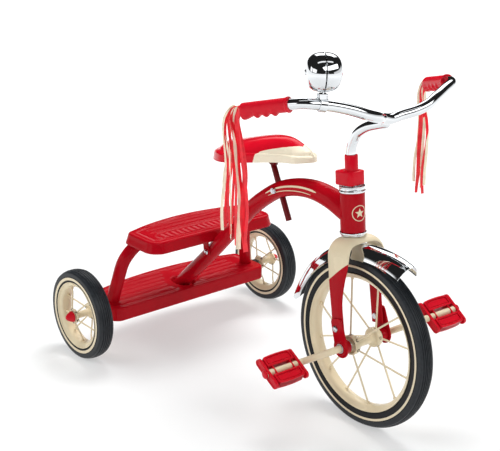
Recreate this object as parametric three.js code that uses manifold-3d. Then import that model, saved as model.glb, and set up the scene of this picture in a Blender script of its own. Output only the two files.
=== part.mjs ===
// Children's tricycle: a bent main tube with two pressed steel steps behind the rider, a saddle on a
// sliding post, a stamped fork with a direct-drive pedal wheel, and a bell and streamers on the handlebar.
// Millimetres. +X is forward, +Y is the rider's left, +Z is up, and the floor is z = 0.
// Shapes are laid out from the rear axle (x = 0) and moved at the end, so that the origin is under the middle.
import * as THREE from "three";
import { mergeVertices } from "three/addons/utils/BufferGeometryUtils.js";
import Module from "manifold-3d";

const wasm = await Module();
wasm.setup();

// ---------- driving dimensions ----------
const GAP = 0.3; // between pieces that touch
const RUNNING_GAP = 0.4; // between pieces that turn or slide on each other
const WHEELBASE = 512.5;
const CENTRE_X = 288.3; // middle of the whole length, measured from the rear axle
const SIDES = { right: -1, left: 1 };

const FRONT = { radius: 152.4, halfWidth: 14.4, rim: 122.3, beadRadius: 121.3, spokes: 12, firstSpoke: 15 };
const REAR = { radius: 88.9, halfWidth: 15.8, rim: 66, beadRadius: 65, spokes: 10, firstSpoke: 16, track: 482 };

const HEAD_TILT = THREE.MathUtils.degToRad(6.67);
const HEAD_FOOT = new THREE.Vector3(472.9, 0, 341.6); // bottom of the head tube, on the steering axis
const HEAD = { length: 67.2, radius: 21.5, bore: 15 };
const HEAD_AXIS = new THREE.Vector3(-Math.sin(HEAD_TILT), 0, Math.cos(HEAD_TILT));
const REST_STEER = THREE.MathUtils.degToRad(-3.7); // the front wheel is left turned slightly to the right
const STEERER_RADIUS = 12;

const TUBE_RADIUS = 15; // main tube, where it is straight
const ARCH_RADIUS = 12.7; // the tube that carries the upper step
const AXLE_RADIUS = 5; // rear axle
const CRANK = { rod: 6, throw: 70, angle: THREE.MathUtils.degToRad(34), pedalY: 129.5, pedalWidth: 72 };
const BAR_RADIUS = 8.7;
const GRIP_RADIUS = 11.2;

const LOWER_STEP = { top: 101.7, skirt: 27.7, front: 49, halfWidth: 198, rear: -53, bulge: 28, corner: 20, flare: 0 };
const UPPER_STEP = { top: 246, skirt: 22, front: 116, halfWidth: 153, rear: 25, bulge: 27, corner: 25, flare: 5 };
const SHEET = 2; // thickness of the pressed steps

const POST = { top: new THREE.Vector3(270.5, 0, 414.8), foot: new THREE.Vector3(318.1, 0, 317.5), radius: 5.5 };
const SEAT = { rear: 138, nose: 375, rimZ: 405.5, rise: 0.14, halfWidth: 84, noseHalfWidth: 36, crown: 22, skirt: 19.5 };
const BELL = { centre: new THREE.Vector3(535, -140, 632.5), radius: 29, halfLength: 27, azimuth: 57 };

// ---------- materials ----------
const paint = (color, roughness, metalness) => new THREE.MeshStandardMaterial({ color, roughness, metalness });
const RED_PAINT = paint(0xa80d1b, 0.25, 0.1);
const CREAM_PAINT = paint(0xe6d9bb, 0.35, 0.05);
const CHROME = paint(0xd8dade, 0.08, 1);
const ZINC = paint(0xaab0b8, 0.35, 1);
const RUBBER = paint(0x17181b, 0.6, 0);
const RED_PLASTIC = paint(0xc01425, 0.35, 0);
const DARK_STEEL = paint(0x2e3033, 0.5, 0.6);
const STREAMER = paint(0xd06a62, 0.45, 0);

// ---------- geometry helpers ----------
// A geometry as a solid that can be joined and cut, turned so that its faces point out.
function solid(geometry) {
  const bare = geometry.index ? geometry.toNonIndexed() : geometry.clone();
  for (const name of Object.keys(bare.attributes)) {
    if (name !== "position") bare.deleteAttribute(name);
  }
  const merged = mergeVertices(bare, 1e-4);
  const triVerts = new Uint32Array(merged.index.array);
  const vertProperties = new Float32Array(merged.attributes.position.array);
  const made = new wasm.Manifold(new wasm.Mesh({ numProp: 3, vertProperties, triVerts }));
  if (made.volume() >= 0) return made;
  for (let i = 0; i < triVerts.length; i += 3) {
    [triVerts[i + 1], triVerts[i + 2]] = [triVerts[i + 2], triVerts[i + 1]];
  }
  return new wasm.Manifold(new wasm.Mesh({ numProp: 3, vertProperties, triVerts }));
}

function geometryOf(made) {
  const { vertProperties, triVerts } = made.getMesh();
  const geometry = new THREE.BufferGeometry();
  geometry.setAttribute("position", new THREE.BufferAttribute(new Float32Array(vertProperties), 3));
  geometry.setIndex(new THREE.BufferAttribute(new Uint32Array(triVerts), 1));
  geometry.computeVertexNormals();
  return geometry;
}

const join = (...geometries) => geometryOf(geometries.map(solid).reduce((sum, next) => sum.add(next)));

const cut = (geometry, ...tools) =>
  geometryOf(tools.map(solid).reduce((rest, tool) => rest.subtract(tool), solid(geometry)));

// A round bar along the y axis.
function barY(radius, y0, y1, sides = 24, radius1 = radius) {
  return new THREE.CylinderGeometry(radius1, radius, y1 - y0, sides).translate(0, (y0 + y1) / 2, 0);
}

// A round bar along the z axis.
function barZ(radius, z0, z1, sides = 24, radius1 = radius) {
  return barY(radius, z0, z1, sides, radius1).rotateX(Math.PI / 2);
}

// A round bar between two points.
function barBetween(from, to, radius, sides = 12) {
  const span = new THREE.Vector3().subVectors(to, from);
  const turn = new THREE.Quaternion().setFromUnitVectors(new THREE.Vector3(0, 1, 0), span.clone().normalize());
  const middle = new THREE.Vector3().addVectors(from, to).multiplyScalar(0.5);
  const bar = new THREE.CylinderGeometry(radius, radius, span.length(), sides);
  return bar.applyQuaternion(turn).translate(middle.x, middle.y, middle.z);
}

// Moves a geometry made along z at the origin to the steering axis, from the foot of the head tube.
function onHeadAxis(geometry) {
  return geometry.rotateY(-HEAD_TILT).translate(HEAD_FOOT.x, HEAD_FOOT.y, HEAD_FOOT.z);
}

function headPoint(along) {
  return HEAD_FOOT.clone().addScaledVector(HEAD_AXIS, along);
}

// A ring turned about the y axis from a closed outline of [radius, y] points.
function turned(outline, segments) {
  const points = outline.map(([radius, y]) => new THREE.Vector2(radius, y));
  return new THREE.LatheGeometry([...points, points[0]], segments);
}

// A solid of revolution about the y axis whose outline starts and ends on the axis.
function spindle(outline, segments) {
  return new THREE.LatheGeometry(outline.map(([radius, y]) => new THREE.Vector2(radius, y)), segments);
}

function mirrored(outline) {
  return [...outline, ...outline.map(([radius, y]) => [radius, -y]).reverse()];
}

// An oval bar swept along a curve: its half sizes are across(t) along the side vector and deep(t) square to it.
// bow(t) is how far its leading edge turns in.
function swept(curve, steps, sides, side, across, deep = across, bow = () => 0) {
  const bar = new THREE.CylinderGeometry(1, 1, 1, sides, steps);
  const position = bar.getAttribute("position");
  for (let i = 0; i < position.count; i++) {
    const t = THREE.MathUtils.clamp(position.getY(i) + 0.5, 0, 1);
    const tangent = curve.getTangent(t);
    const u = side.clone().addScaledVector(tangent, -side.dot(tangent)).normalize();
    const v = new THREE.Vector3().crossVectors(u, tangent);
    const point = curve.getPoint(t);
    const lead = Math.max(0, position.getX(i));
    point.addScaledVector(u, position.getX(i) * across(t));
    point.addScaledVector(v, position.getZ(i) * deep(t) - bow(t) * lead * lead);
    position.setXYZ(i, point.x, point.y, point.z);
  }
  return bar;
}

// A piece drawn on the left, moved to the given side of the middle plane.
const sided = (geometry, side) => geometry.scale(1, side, 1);

const smooth = (...points) =>
  new THREE.CatmullRomCurve3(points.map(([x, y, z]) => new THREE.Vector3(x, y, z)), false, "centripetal");

// A curve of straight runs with rounded corners.
function bentWire(points, bend) {
  const path = new THREE.CurvePath();
  let start = points[0];
  for (let i = 1; i < points.length - 1; i++) {
    const toCorner = new THREE.Vector3().subVectors(points[i], start).normalize();
    const fromCorner = new THREE.Vector3().subVectors(points[i + 1], points[i]).normalize();
    const enter = points[i].clone().addScaledVector(toCorner, -bend);
    const leave = points[i].clone().addScaledVector(fromCorner, bend);
    path.add(new THREE.LineCurve3(start, enter));
    path.add(new THREE.QuadraticBezierCurve3(enter, points[i], leave));
    start = leave;
  }
  path.add(new THREE.LineCurve3(start, points[points.length - 1]));
  return path;
}

// A sheet with thickness: place(u, v, w) gives the point at u, v in 0..1, on the inside (w = 0) or outside.
function sheet(uSteps, vSteps, place) {
  const box = new THREE.BoxGeometry(1, 1, 1, uSteps, vSteps, 1);
  const position = box.getAttribute("position");
  for (let i = 0; i < position.count; i++) {
    const point = place(position.getX(i) + 0.5, position.getY(i) + 0.5, position.getZ(i) > 0 ? 1 : 0);
    position.setXYZ(i, point.x, point.y, point.z);
  }
  return box;
}

const smoothstep = (x, low, high) => THREE.MathUtils.smoothstep(x, low, high);

function roundedRect(length, width, corner) {
  const shape = new THREE.Shape();
  const [x, y] = [length / 2, width / 2];
  shape.moveTo(-x + corner, -y);
  shape.lineTo(x - corner, -y);
  shape.absarc(x - corner, -y + corner, corner, -Math.PI / 2, 0, false);
  shape.lineTo(x, y - corner);
  shape.absarc(x - corner, y - corner, corner, 0, Math.PI / 2, false);
  shape.lineTo(-x + corner, y);
  shape.absarc(-x + corner, y - corner, corner, Math.PI / 2, Math.PI, false);
  shape.lineTo(-x, -y + corner);
  shape.absarc(-x + corner, -y + corner, corner, Math.PI, 1.5 * Math.PI, false);
  return shape;
}

const slab = (shape, height, curveSegments = 5) =>
  new THREE.ExtrudeGeometry(shape, { depth: height, bevelEnabled: false, curveSegments });

const model = new THREE.Group();
model.position.x = -CENTRE_X;

function addPart(group, name, geometry, material, place = new THREE.Vector3()) {
  const part = new THREE.Mesh(geometryOf(solid(geometry)), material);
  part.name = name;
  part.position.copy(place);
  group.add(part);
}

// ---------- frame ----------
const frame = new THREE.Group();
model.add(frame);

const MAIN_PATH = smooth(
  [-14, 0, 78.5],
  [11, 0, 103.5],
  [90, 0, 181],
  [160, 0, 254.5],
  [219, 0, 317],
  [253, 0, 345],
  [292, 0, 370],
  [334, 0, 384.5],
  [378, 0, 390],
  [420, 0, 385],
  [462, 0, 371],
);
const mainRadius = (t) => TUBE_RADIUS + 4.5 * smoothstep(t, 0.55, 1);
const STEP_BOLT_PLACE = new THREE.Vector3(107, 0, 199); // where the bracket's bolt crosses the main tube
const POST_BOLT_PLACE = new THREE.Vector3(291.5, 0, 370.5);
const BOLT_SHANK = 3;

const yAxis = new THREE.Vector3(0, 1, 0);
const xAxis = new THREE.Vector3(1, 0, 0);
const zAxis = new THREE.Vector3(0, 0, 1);

function at(geometry, place) {
  return geometry.translate(place.x, place.y, place.z);
}

function postBar(radius, beyondTop, beyondFoot) {
  const along = new THREE.Vector3().subVectors(POST.foot, POST.top).normalize();
  const top = POST.top.clone().addScaledVector(along, -beyondTop);
  const foot = POST.foot.clone().addScaledVector(along, beyondFoot);
  return barBetween(top, foot, radius, 16);
}

function mainTube(extra = 0) {
  return swept(MAIN_PATH, 18, 12, yAxis, (t) => mainRadius(t) + extra);
}

function makeMainTube() {
  const head = onHeadAxis(barZ(HEAD.radius + GAP, -40, HEAD.length + 40, 32));
  const post = postBar(POST.radius + RUNNING_GAP, 40, 40);
  const axle = barY(AXLE_RADIUS + GAP, -30, 30).translate(0, 0, REAR.radius);
  const stepBolt = at(barY(BOLT_SHANK + GAP, -30, 30, 12), STEP_BOLT_PLACE);
  const postBolt = at(barY(BOLT_SHANK + GAP, -30, -POST.radius, 12), POST_BOLT_PLACE);
  return cut(mainTube(), head, post, axle, stepBolt, postBolt);
}

function makeHeadTube() {
  return onHeadAxis(cut(barZ(HEAD.radius, 0, HEAD.length, 24), barZ(HEAD.bore, -1, HEAD.length + 1, 16)));
}

// A bearing cup with a lip: its wide end meets the head tube.
function makeCup(from, to, towardsTube) {
  const lip = towardsTube > 0 ? [to - 4, to] : [from, from + 4];
  const cup = join(barZ(HEAD.radius - 0.5, from, to, 20), barZ(HEAD.radius + 1.6, ...lip, 20));
  return onHeadAxis(cut(cup, barZ(STEERER_RADIUS + RUNNING_GAP, from - 1, to + 1, 16)));
}

// The outline of a step: straight front and sides, round corners, and a rear edge that bulges.
function stepShape(step, inset) {
  const half = step.halfWidth - inset;
  const corner = step.corner - inset;
  const front = step.front - inset;
  const bulge = step.bulge;
  const arcHalf = half - 6;
  const arcRadius = (arcHalf * arcHalf + bulge * bulge) / (2 * bulge);
  const arcCentre = step.rear - bulge + inset + arcRadius;
  const sweep = Math.asin(arcHalf / arcRadius);
  const shape = new THREE.Shape();
  shape.moveTo(front, 0);
  shape.lineTo(front, half - corner);
  shape.absarc(front - corner, half - corner, corner, 0, Math.PI / 2, false);
  shape.quadraticCurveTo(step.rear + inset + 4, half, step.rear + inset, arcHalf);
  shape.absarc(arcCentre, 0, arcRadius, Math.PI - sweep, Math.PI + sweep, false);
  shape.quadraticCurveTo(step.rear + inset + 4, -half, front - corner, -half);
  shape.absarc(front - corner, -half + corner, corner, -Math.PI / 2, 0, false);
  return shape;
}

// A pressed step without its ribs: a shallow pan, open below, whose skirt flares towards its foot.
function stepPan(step) {
  const pan = slab(stepShape(step, 0), step.skirt, 4);
  const hollow = slab(stepShape(step, SHEET), step.skirt, 4).translate(0, 0, -SHEET);
  const made = cut(pan, hollow);
  const position = made.getAttribute("position");
  const middle = (step.front + step.rear) / 2;
  for (let i = 0; i < position.count; i++) {
    const grow = step.flare * Math.min(1, 1 - position.getZ(i) / step.skirt);
    const x = position.getX(i) + grow * THREE.MathUtils.clamp((position.getX(i) - middle) / 40, -1, 1);
    const y = position.getY(i) * (1 + grow / step.halfWidth);
    position.setXYZ(i, x, y, position.getZ(i) + step.top - step.skirt);
  }
  return made;
}

// A long rib with round ends, raised above a step.
function rib(step, x, y0, y1) {
  const width = 7;
  const shape = roundedRect(width, y1 - y0, width / 2 - 0.01);
  return slab(shape, 1.7, 1).translate(x, (y0 + y1) / 2, step.top - 0.5);
}

function makeUpperStep() {
  const ribEnd = UPPER_STEP.halfWidth - 34;
  const ribs = [8, 36, 64, 92].map((x) => rib(UPPER_STEP, x, -ribEnd, ribEnd));
  return cut(join(stepPan(UPPER_STEP), ...ribs), mainTube(0.6), archTube(GAP));
}

function makeLowerStep() {
  const rows = [[-50, 12, 150], [-30, 12, 160], [-10, 40, 150], [10, 40, 150], [30, 40, 178]];
  const ribs = rows.flatMap(([x, inner, outer]) => [
    rib(LOWER_STEP, x, inner, outer),
    rib(LOWER_STEP, x, -outer, -inner),
  ]);
  const axle = barY(AXLE_RADIUS + 1, -220, 220, 12).translate(0, 0, REAR.radius);
  return cut(join(stepPan(LOWER_STEP), ...ribs), mainTube(0.6), archTube(0.8), axle);
}

const ARCH_LEG = [
  [2.3, 177.6, 78],
  [6.8, 174.8, 101.7],
  [12.3, 166.8, 140],
  [19.2, 158.1, 180],
  [24, 151, 196],
  [26.5, 138, 209.5],
  [27, 121, 220],
  [27, 98, 228],
];

function archTube(extra = 0) {
  const right = ARCH_LEG.map(([x, y, z]) => [x, -y, z]);
  const left = [...ARCH_LEG].reverse();
  const path = smooth(...right, [27, -40, 230.8], [27, 40, 230.8], ...left);
  return swept(path, 30, 10, xAxis, () => ARCH_RADIUS + extra);
}

function makeRearArch() {
  return cut(archTube(), barY(AXLE_RADIUS + GAP, -200, 200, 16).translate(0, 0, REAR.radius));
}

// The two cheeks that hang from the upper step and take its bolt, joined by a plate under the step.
function makeStepBracket() {
  const cheek = new THREE.Shape();
  cheek.moveTo(92, 240);
  cheek.lineTo(98, 201);
  cheek.absarc(107, 199, 8.5, Math.PI, 1.9 * Math.PI, false);
  cheek.lineTo(111, 214);
  cheek.lineTo(111, 240);
  const thick = 2.5;
  const inner = TUBE_RADIUS + 0.8;
  const side = slab(cheek, thick, 8).rotateX(Math.PI / 2);
  const cheeks = [side.clone().translate(0, -inner, 0), side.clone().translate(0, inner + thick, 0)];
  const width = 2 * (inner + thick);
  const plate = new THREE.BoxGeometry(19, width, 3).translate(101.5, 0, 241.5);
  const bolt = at(barY(BOLT_SHANK + GAP, -40, 40, 12), STEP_BOLT_PLACE);
  return cut(join(...cheeks, plate), mainTube(0.5), bolt);
}

// A dome-headed bolt along y with a nut at its other end; head and nut sit outside the grip length.
function makeThroughBolt(grip) {
  const head = spindle([[0, -grip - 3.6], [3, -grip - 3.2], [5.2, -grip - 1.6], [5.6, -grip], [0, -grip]], 16);
  const nut = new THREE.CylinderGeometry(5.4, 5.4, 4, 6).translate(0, grip + 2, 0);
  return join(head, barY(BOLT_SHANK, -grip - 0.2, grip + 6, 12), nut);
}

function makeRearAxle() {
  return barY(AXLE_RADIUS, -REAR.track / 2 - 26, REAR.track / 2 + 26, 20);
}

function makeFrameNodes() {
  addPart(frame, "main_tube", makeMainTube(), RED_PAINT);
  addPart(frame, "head_tube", makeHeadTube(), RED_PAINT);
  addPart(frame, "headset_lower_cup", makeCup(-6.6, -GAP, 1), CHROME);
  addPart(frame, "headset_upper_cup", makeCup(HEAD.length + GAP, HEAD.length + 11, -1), CHROME);
  addPart(frame, "upper_step", makeUpperStep(), RED_PAINT);
  addPart(frame, "lower_step", makeLowerStep(), RED_PAINT);
  addPart(frame, "rear_arch", makeRearArch(), RED_PAINT);
  addPart(frame, "step_bracket", makeStepBracket(), RED_PAINT);
  addPart(frame, "step_bracket_bolt", makeThroughBolt(TUBE_RADIUS + 3.8), ZINC, STEP_BOLT_PLACE);
  addPart(frame, "seat_clamp_bolt", makeSeatClampBolt(), ZINC, POST_BOLT_PLACE);
  const axlePlace = new THREE.Vector3(0, 0, REAR.radius);
  addPart(frame, "rear_axle", makeRearAxle(), ZINC, axlePlace);
  for (const [name, side] of Object.entries(SIDES)) {
    const spacer = sided(cut(barY(9, 203, 213.5), barY(AXLE_RADIUS + GAP, 200, 220)), side);
    addPart(frame, `axle_spacer_${name}`, spacer, DARK_STEEL, axlePlace);
    addPart(frame, `axle_cap_${name}`, makeAxleCap(side), RED_PLASTIC, axlePlace);
  }
}

// The set screw that holds the seat post where it is.
function makeSeatClampBolt() {
  const from = -TUBE_RADIUS - 0.6;
  const head = barY(5.6, from - 4, from, 6);
  return join(head, barY(BOLT_SHANK, from - 0.2, -POST.radius - 1, 12));
}

// The push-on cap that keeps a rear wheel on its axle.
function makeAxleCap(side) {
  const inner = REAR.track / 2 + 22.5;
  const outline = [[0, inner + 13], [3, inner + 12.4], [7, inner + 8], [9.6, inner + 1.5], [9.6, inner], [0, inner]];
  const cap = cut(spindle(outline, 16), barY(AXLE_RADIUS + GAP, inner - 1, REAR.track / 2 + 26.4, 16));
  return side > 0 ? cap : cap.rotateZ(Math.PI);
}
makeFrameNodes();

// ---------- wheels ----------
// A tyre with a nearly square tread, from bead to tread.
function makeTyre(wheel, segments) {
  const { radius, halfWidth, beadRadius } = wheel;
  const wall = [
    [beadRadius, halfWidth - 2.1],
    [wheel.rim + 3, halfWidth - 1.2],
    [(wheel.rim + radius) / 2 - 1, halfWidth],
    [radius * 0.925, halfWidth],
    [radius * 0.97, halfWidth * 0.8],
    [radius, halfWidth * 0.28],
  ];
  return turned(mirrored(wall), segments);
}

const RIM_DEPTH = 8.4;

// A rim with a lip that holds the tyre and a well between its lips.
function makeRim(wheel, segments) {
  const { rim, beadRadius, halfWidth } = wheel;
  const outer = beadRadius - GAP;
  const half = [
    [outer, halfWidth - 1.2],
    [rim, halfWidth - 1.2],
    [rim, halfWidth],
    [outer - 4.5, halfWidth - 3],
    [outer - RIM_DEPTH, halfWidth - 8],
  ];
  return turned(mirrored(half), segments);
}

// One straight spoke from a hub flange to the middle of the rim.
function makeSpoke(angle, hubRadius, hubY, rimRadius, wire) {
  const out = new THREE.Vector3(Math.cos(angle), 0, Math.sin(angle));
  const start = out.clone().multiplyScalar(hubRadius).setY(hubY);
  return barBetween(start, out.multiplyScalar(rimRadius), wire, 5);
}

function makeSpokedHub(hub, wheel, bore) {
  const { barrel, halfLength, flange, flangeY, flangeWidth, wire } = hub;
  const pieces = [barY(barrel, -halfLength, halfLength, 16)];
  for (const side of [-1, 1]) {
    pieces.push(barY(flange, side * flangeY - flangeWidth / 2, side * flangeY + flangeWidth / 2, 16));
  }
  const rimRadius = wheel.beadRadius - GAP - RIM_DEPTH - 1;
  for (let i = 0; i < wheel.spokes; i++) {
    const angle = THREE.MathUtils.degToRad(wheel.firstSpoke + (360 / wheel.spokes) * i);
    const side = i % 2 ? -1 : 1;
    pieces.push(makeSpoke(angle, flange - 3, side * flangeY, rimRadius, wire));
  }
  return cut(join(...pieces), barY(bore, -halfLength - 1, halfLength + 1, 16));
}

const REAR_HUB = { barrel: 8.5, halfLength: 21.5, flange: 12.5, flangeY: 16.5, flangeWidth: 4, wire: 1.4 };
const FRONT_HUB = { barrel: 9, halfLength: 33.3, flange: 17, flangeY: 26, flangeWidth: 11, wire: 1.5 };

function makeRearWheels() {
  for (const [name, side] of Object.entries(SIDES)) {
    const place = new THREE.Vector3(0, (side * REAR.track) / 2, REAR.radius);
    addPart(frame, `rear_tyre_${name}`, makeTyre(REAR, 26), RUBBER, place);
    addPart(frame, `rear_rim_${name}`, makeRim(REAR, 26), CREAM_PAINT, place);
    addPart(frame, `rear_hub_${name}`, makeSpokedHub(REAR_HUB, REAR, AXLE_RADIUS + RUNNING_GAP), CREAM_PAINT, place);
  }
}
makeRearWheels();

// ---------- seat ----------
// Half width of the saddle where x runs from -1 at the rear to 1 at the nose.
const seatHalfWidth = (x) => THREE.MathUtils.lerp(SEAT.halfWidth, SEAT.noseHalfWidth, smoothstep(x, -0.45, 0.62));

function seatPoint(x, y, height) {
  const middle = (SEAT.rear + SEAT.nose) / 2;
  const half = (SEAT.nose - SEAT.rear) / 2;
  const px = middle + half * x;
  const base = SEAT.rimZ + SEAT.rise * (px - SEAT.rear);
  return new THREE.Vector3(px, y * seatHalfWidth(x), base + height);
}

// A domed saddle with a skirt, hollow beneath.
function makeSaddle() {
  const profile = [
    [0, 1], [0.3, 0.96], [0.55, 0.84], [0.75, 0.66], [0.9, 0.42], [0.98, 0.12], [1, -0.4],
    [0.97, -0.4], [0.94, 0.05], [0.86, 0.3], [0.7, 0.5], [0.4, 0.72], [0, 0.84],
  ];
  const dome = spindle(profile, 28);
  const position = dome.getAttribute("position");
  for (let i = 0; i < position.count; i++) {
    const [x, h, y] = [position.getX(i), position.getY(i), -position.getZ(i)];
    const height = h > 0 ? SEAT.skirt + h * SEAT.crown : SEAT.skirt * (1 + h / 0.4);
    const point = seatPoint(x, y, height);
    position.setXYZ(i, point.x, point.y, point.z);
  }
  return dome;
}

// The channel under the saddle that the post is welded to.
function makeSeatBracket() {
  const place = seatPoint(0.19, 0, SEAT.skirt - 2);
  const plate = new THREE.BoxGeometry(70, 34, 3).rotateY(-Math.atan(SEAT.rise)).translate(place.x, 0, place.z);
  const socket = barBetween(POST.top, new THREE.Vector3(place.x + 2, 0, place.z), 9, 16);
  return cut(join(plate, socket), postBar(POST.radius + GAP, 12.5, 10));
}

const seatGroup = new THREE.Group();
model.add(seatGroup);
addPart(seatGroup, "saddle", makeSaddle(), RED_PLASTIC);
addPart(seatGroup, "seat_bracket", makeSeatBracket(), DARK_STEEL);
addPart(seatGroup, "seat_post", postBar(POST.radius, 12, 0), RED_PAINT);

// ---------- steering ----------
const steering = new THREE.Group();
steering.position.copy(HEAD_FOOT);
steering.quaternion.setFromAxisAngle(HEAD_AXIS, REST_STEER);
model.add(steering);
const turning = new THREE.Group(); // undoes the offset, so that what turns is drawn as if steered straight ahead
turning.position.copy(HEAD_FOOT).negate();
steering.add(turning);

const HUB = new THREE.Vector3(WHEELBASE, 0, FRONT.radius);
const BEARING_RADIUS = 8.4;
const FORK_BOLT = new THREE.Vector3(497.4, 0, 183);
const GUARD_BOLT = new THREE.Vector3(490, 0, 321.2); // top of its head, under the crown
const BLADE = { y: 46, halfThick: 3.1, halfWidth: 13.5, crownHalfThick: 3, shoulderHalfWidth: 22.5, crownHalfWidth: 20.7 };

// A stamped fork in one piece: flat blades that widen into a broad crown over the wheel, and the steerer.
function makeFork() {
  const leg = [
    [501, BLADE.y, 171],
    [495.5, BLADE.y, 198],
    [489.5, BLADE.y, 234],
    [488, BLADE.y, 262],
    [488, BLADE.y, 286],
    [486.6, BLADE.y, 302],
    [485.2, 44.6, 314],
    [483.4, 39, 323.5],
    [482, 29.5, 329.8],
    [481, 15, 332.2],
  ];
  const right = leg.map(([x, y, z]) => [x, -y, z]);
  const path = smooth(...right, ...[...leg].reverse());
  const squareToHead = new THREE.Vector3(Math.cos(HEAD_TILT), 0, Math.sin(HEAD_TILT));
  const wider = (t) => (BLADE.shoulderHalfWidth - BLADE.halfWidth) * smoothstep(path.getPoint(t).z, 215, 305);
  const waisted = (t) => (BLADE.shoulderHalfWidth - BLADE.crownHalfWidth) * smoothstep(path.getPoint(t).z, 312, 330);
  const across = (t) => BLADE.halfWidth + wider(t) - waisted(t);
  const thinner = (t) => smoothstep(path.getPoint(t).z, 300, 328);
  const deep = (t) => THREE.MathUtils.lerp(BLADE.halfThick, BLADE.crownHalfThick, thinner(t));
  const bow = (t) => 6 * smoothstep(path.getPoint(t).z, 270, 318);
  const blades = swept(path, 34, 10, squareToHead, across, deep, bow);
  const steerer = onHeadAxis(barZ(STEERER_RADIUS, -12, HEAD.length + 24, 16));
  const bolts = at(barY(BOLT_SHANK + GAP, -60, 60, 8), FORK_BOLT);
  const guardBolt = at(barZ(BOLT_SHANK + GAP, -30, 12, 8), GUARD_BOLT);
  return cut(join(blades, steerer), bolts, guardBolt);
}

// One lower end of the fork: a cheek bolted to the blade, running down to an eye round the crank axle.
function makeForkEnd(side) {
  const eye = 17;
  const inner = BLADE.y + BLADE.halfThick + GAP;
  const thick = 2.8;
  const outline = new THREE.Shape();
  outline.moveTo(485.5, 192);
  outline.lineTo(HUB.x - eye + 0.8, HUB.z + 5);
  outline.absarc(HUB.x, HUB.z, eye, Math.PI * 0.9, Math.PI * 2.12, false);
  outline.lineTo(511.5, 200);
  outline.lineTo(507, 203);
  outline.lineTo(488.5, 198);
  const cheek = slab(outline, thick, 6).rotateX(Math.PI / 2).translate(0, inner + thick, 0);
  const barrel = at(barY(12, inner - 13, inner + thick + 1.2, 18), HUB);
  const bolt = at(barY(BOLT_SHANK + GAP, 30, 70, 8), FORK_BOLT);
  const bore = at(barY(BEARING_RADIUS + GAP, 30, 70, 18), HUB);
  return sided(cut(join(cheek, barrel), bolt, bore), side);
}

// A dome-headed bolt through a blade and its cheek, with its nut inside.
function makeForkBolt(side) {
  const outer = BLADE.y + BLADE.halfThick + 2.8 + 2 * GAP;
  const inner = BLADE.y - BLADE.halfThick - GAP;
  const head = [[0, outer + 3.4], [3, outer + 3], [5, outer + 1.8], [5.6, outer], [0, outer]];
  const shank = barY(BOLT_SHANK, inner - 3, outer + 0.2, 8);
  const nut = new THREE.CylinderGeometry(5.2, 5.2, 3, 6).translate(0, inner - 1.5, 0);
  const bolt = join(spindle(head, 12), shank, nut);
  return side > 0 ? bolt : bolt.rotateZ(Math.PI);
}

// A split bush that the crank axle turns in.
function makeBearing(side) {
  const bush = join(barY(BEARING_RADIUS, 34.8, 54.6, 18), barY(11, 34, 36, 18));
  return sided(cut(bush, barY(CRANK.rod + RUNNING_GAP, 30, 60, 18)), side);
}

const GUARD = { ahead: 21, below: 22.5, crown: 198.3, edge: 175, halfWidth: 22.5, thick: 1.6 };
const GUARD_ENDS = { front: 68, tail: 157, tongue: 12, flare: 3 };

// The bright mudguard: a crowned arc, flatter than the wheel, whose tail runs lower at its middle and flares out.
function makeFender() {
  const arc = sheet(22, 8, (u, v, w) => {
    const across = v * 2 - 1;
    const tail = GUARD_ENDS.tail + GUARD_ENDS.tongue * (1 - across * across);
    const degrees = THREE.MathUtils.lerp(GUARD_ENDS.front, tail, u);
    const drop = Math.abs(across) ** 4;
    const flare = GUARD_ENDS.flare * smoothstep(degrees, 150, 170);
    const radius = GUARD.crown + flare - (GUARD.crown - GUARD.edge) * drop + GUARD.thick * w;
    const y = (GUARD.halfWidth + GUARD.thick * w * drop) * across;
    const angle = THREE.MathUtils.degToRad(degrees);
    const x = HUB.x + GUARD.ahead + radius * Math.cos(angle);
    return new THREE.Vector3(x, y, HUB.z - GUARD.below + radius * Math.sin(angle));
  });
  return cut(arc, at(barZ(BOLT_SHANK + GAP, -6, 7, 8), GUARD_BOLT));
}

function makeFenderBolt() {
  return at(join(barZ(5, -2.6, 0, 8), barZ(BOLT_SHANK, -0.2, 11.5, 8)), GUARD_BOLT);
}

// The red plastic cover over the ring nut: a rounded block with a sleeve for the stem.
function makeHeadCollar() {
  const block = slab(roundedRect(41.5, 37, 9), 23.5, 3).translate(-4.7, 0, HEAD.length + 12.5);
  const sleeve = barZ(11.2, HEAD.length + 36, HEAD.length + 63, 18);
  const nutRoom = barZ(15, HEAD.length + 10, HEAD.length + 22.4, 18);
  const steererRoom = barZ(STEERER_RADIUS + GAP, HEAD.length + 20, HEAD.length + 24 + GAP, 18);
  const stemRoom = barZ(BAR_RADIUS + 0.9, HEAD.length + 20, HEAD.length + 70, 18);
  return onHeadAxis(cut(join(block, sleeve), nutRoom, steererRoom, stemRoom));
}

function makeHeadNut() {
  const nut = barZ(14.5, HEAD.length + 12.2, HEAD.length + 22.1, 18);
  return onHeadAxis(cut(nut, barZ(STEERER_RADIUS + GAP, HEAD.length, HEAD.length + 30, 16)));
}

const BAR_HALF = [
  [553, 42, 557],
  [555, 66, 564],
  [550, 92, 573],
  [541, 120, 580.5],
  [530, 147, 585],
  [516, 164, 585.5],
  [500, 174, 582.3],
  [462, 190.7, 572.7],
  [431, 204.8, 564.8],
];
const GRIP_START = new THREE.Vector3(496.5, 175.5, 581.3);
const GRIP_END = new THREE.Vector3(427, 206.6, 563.8);

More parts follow.
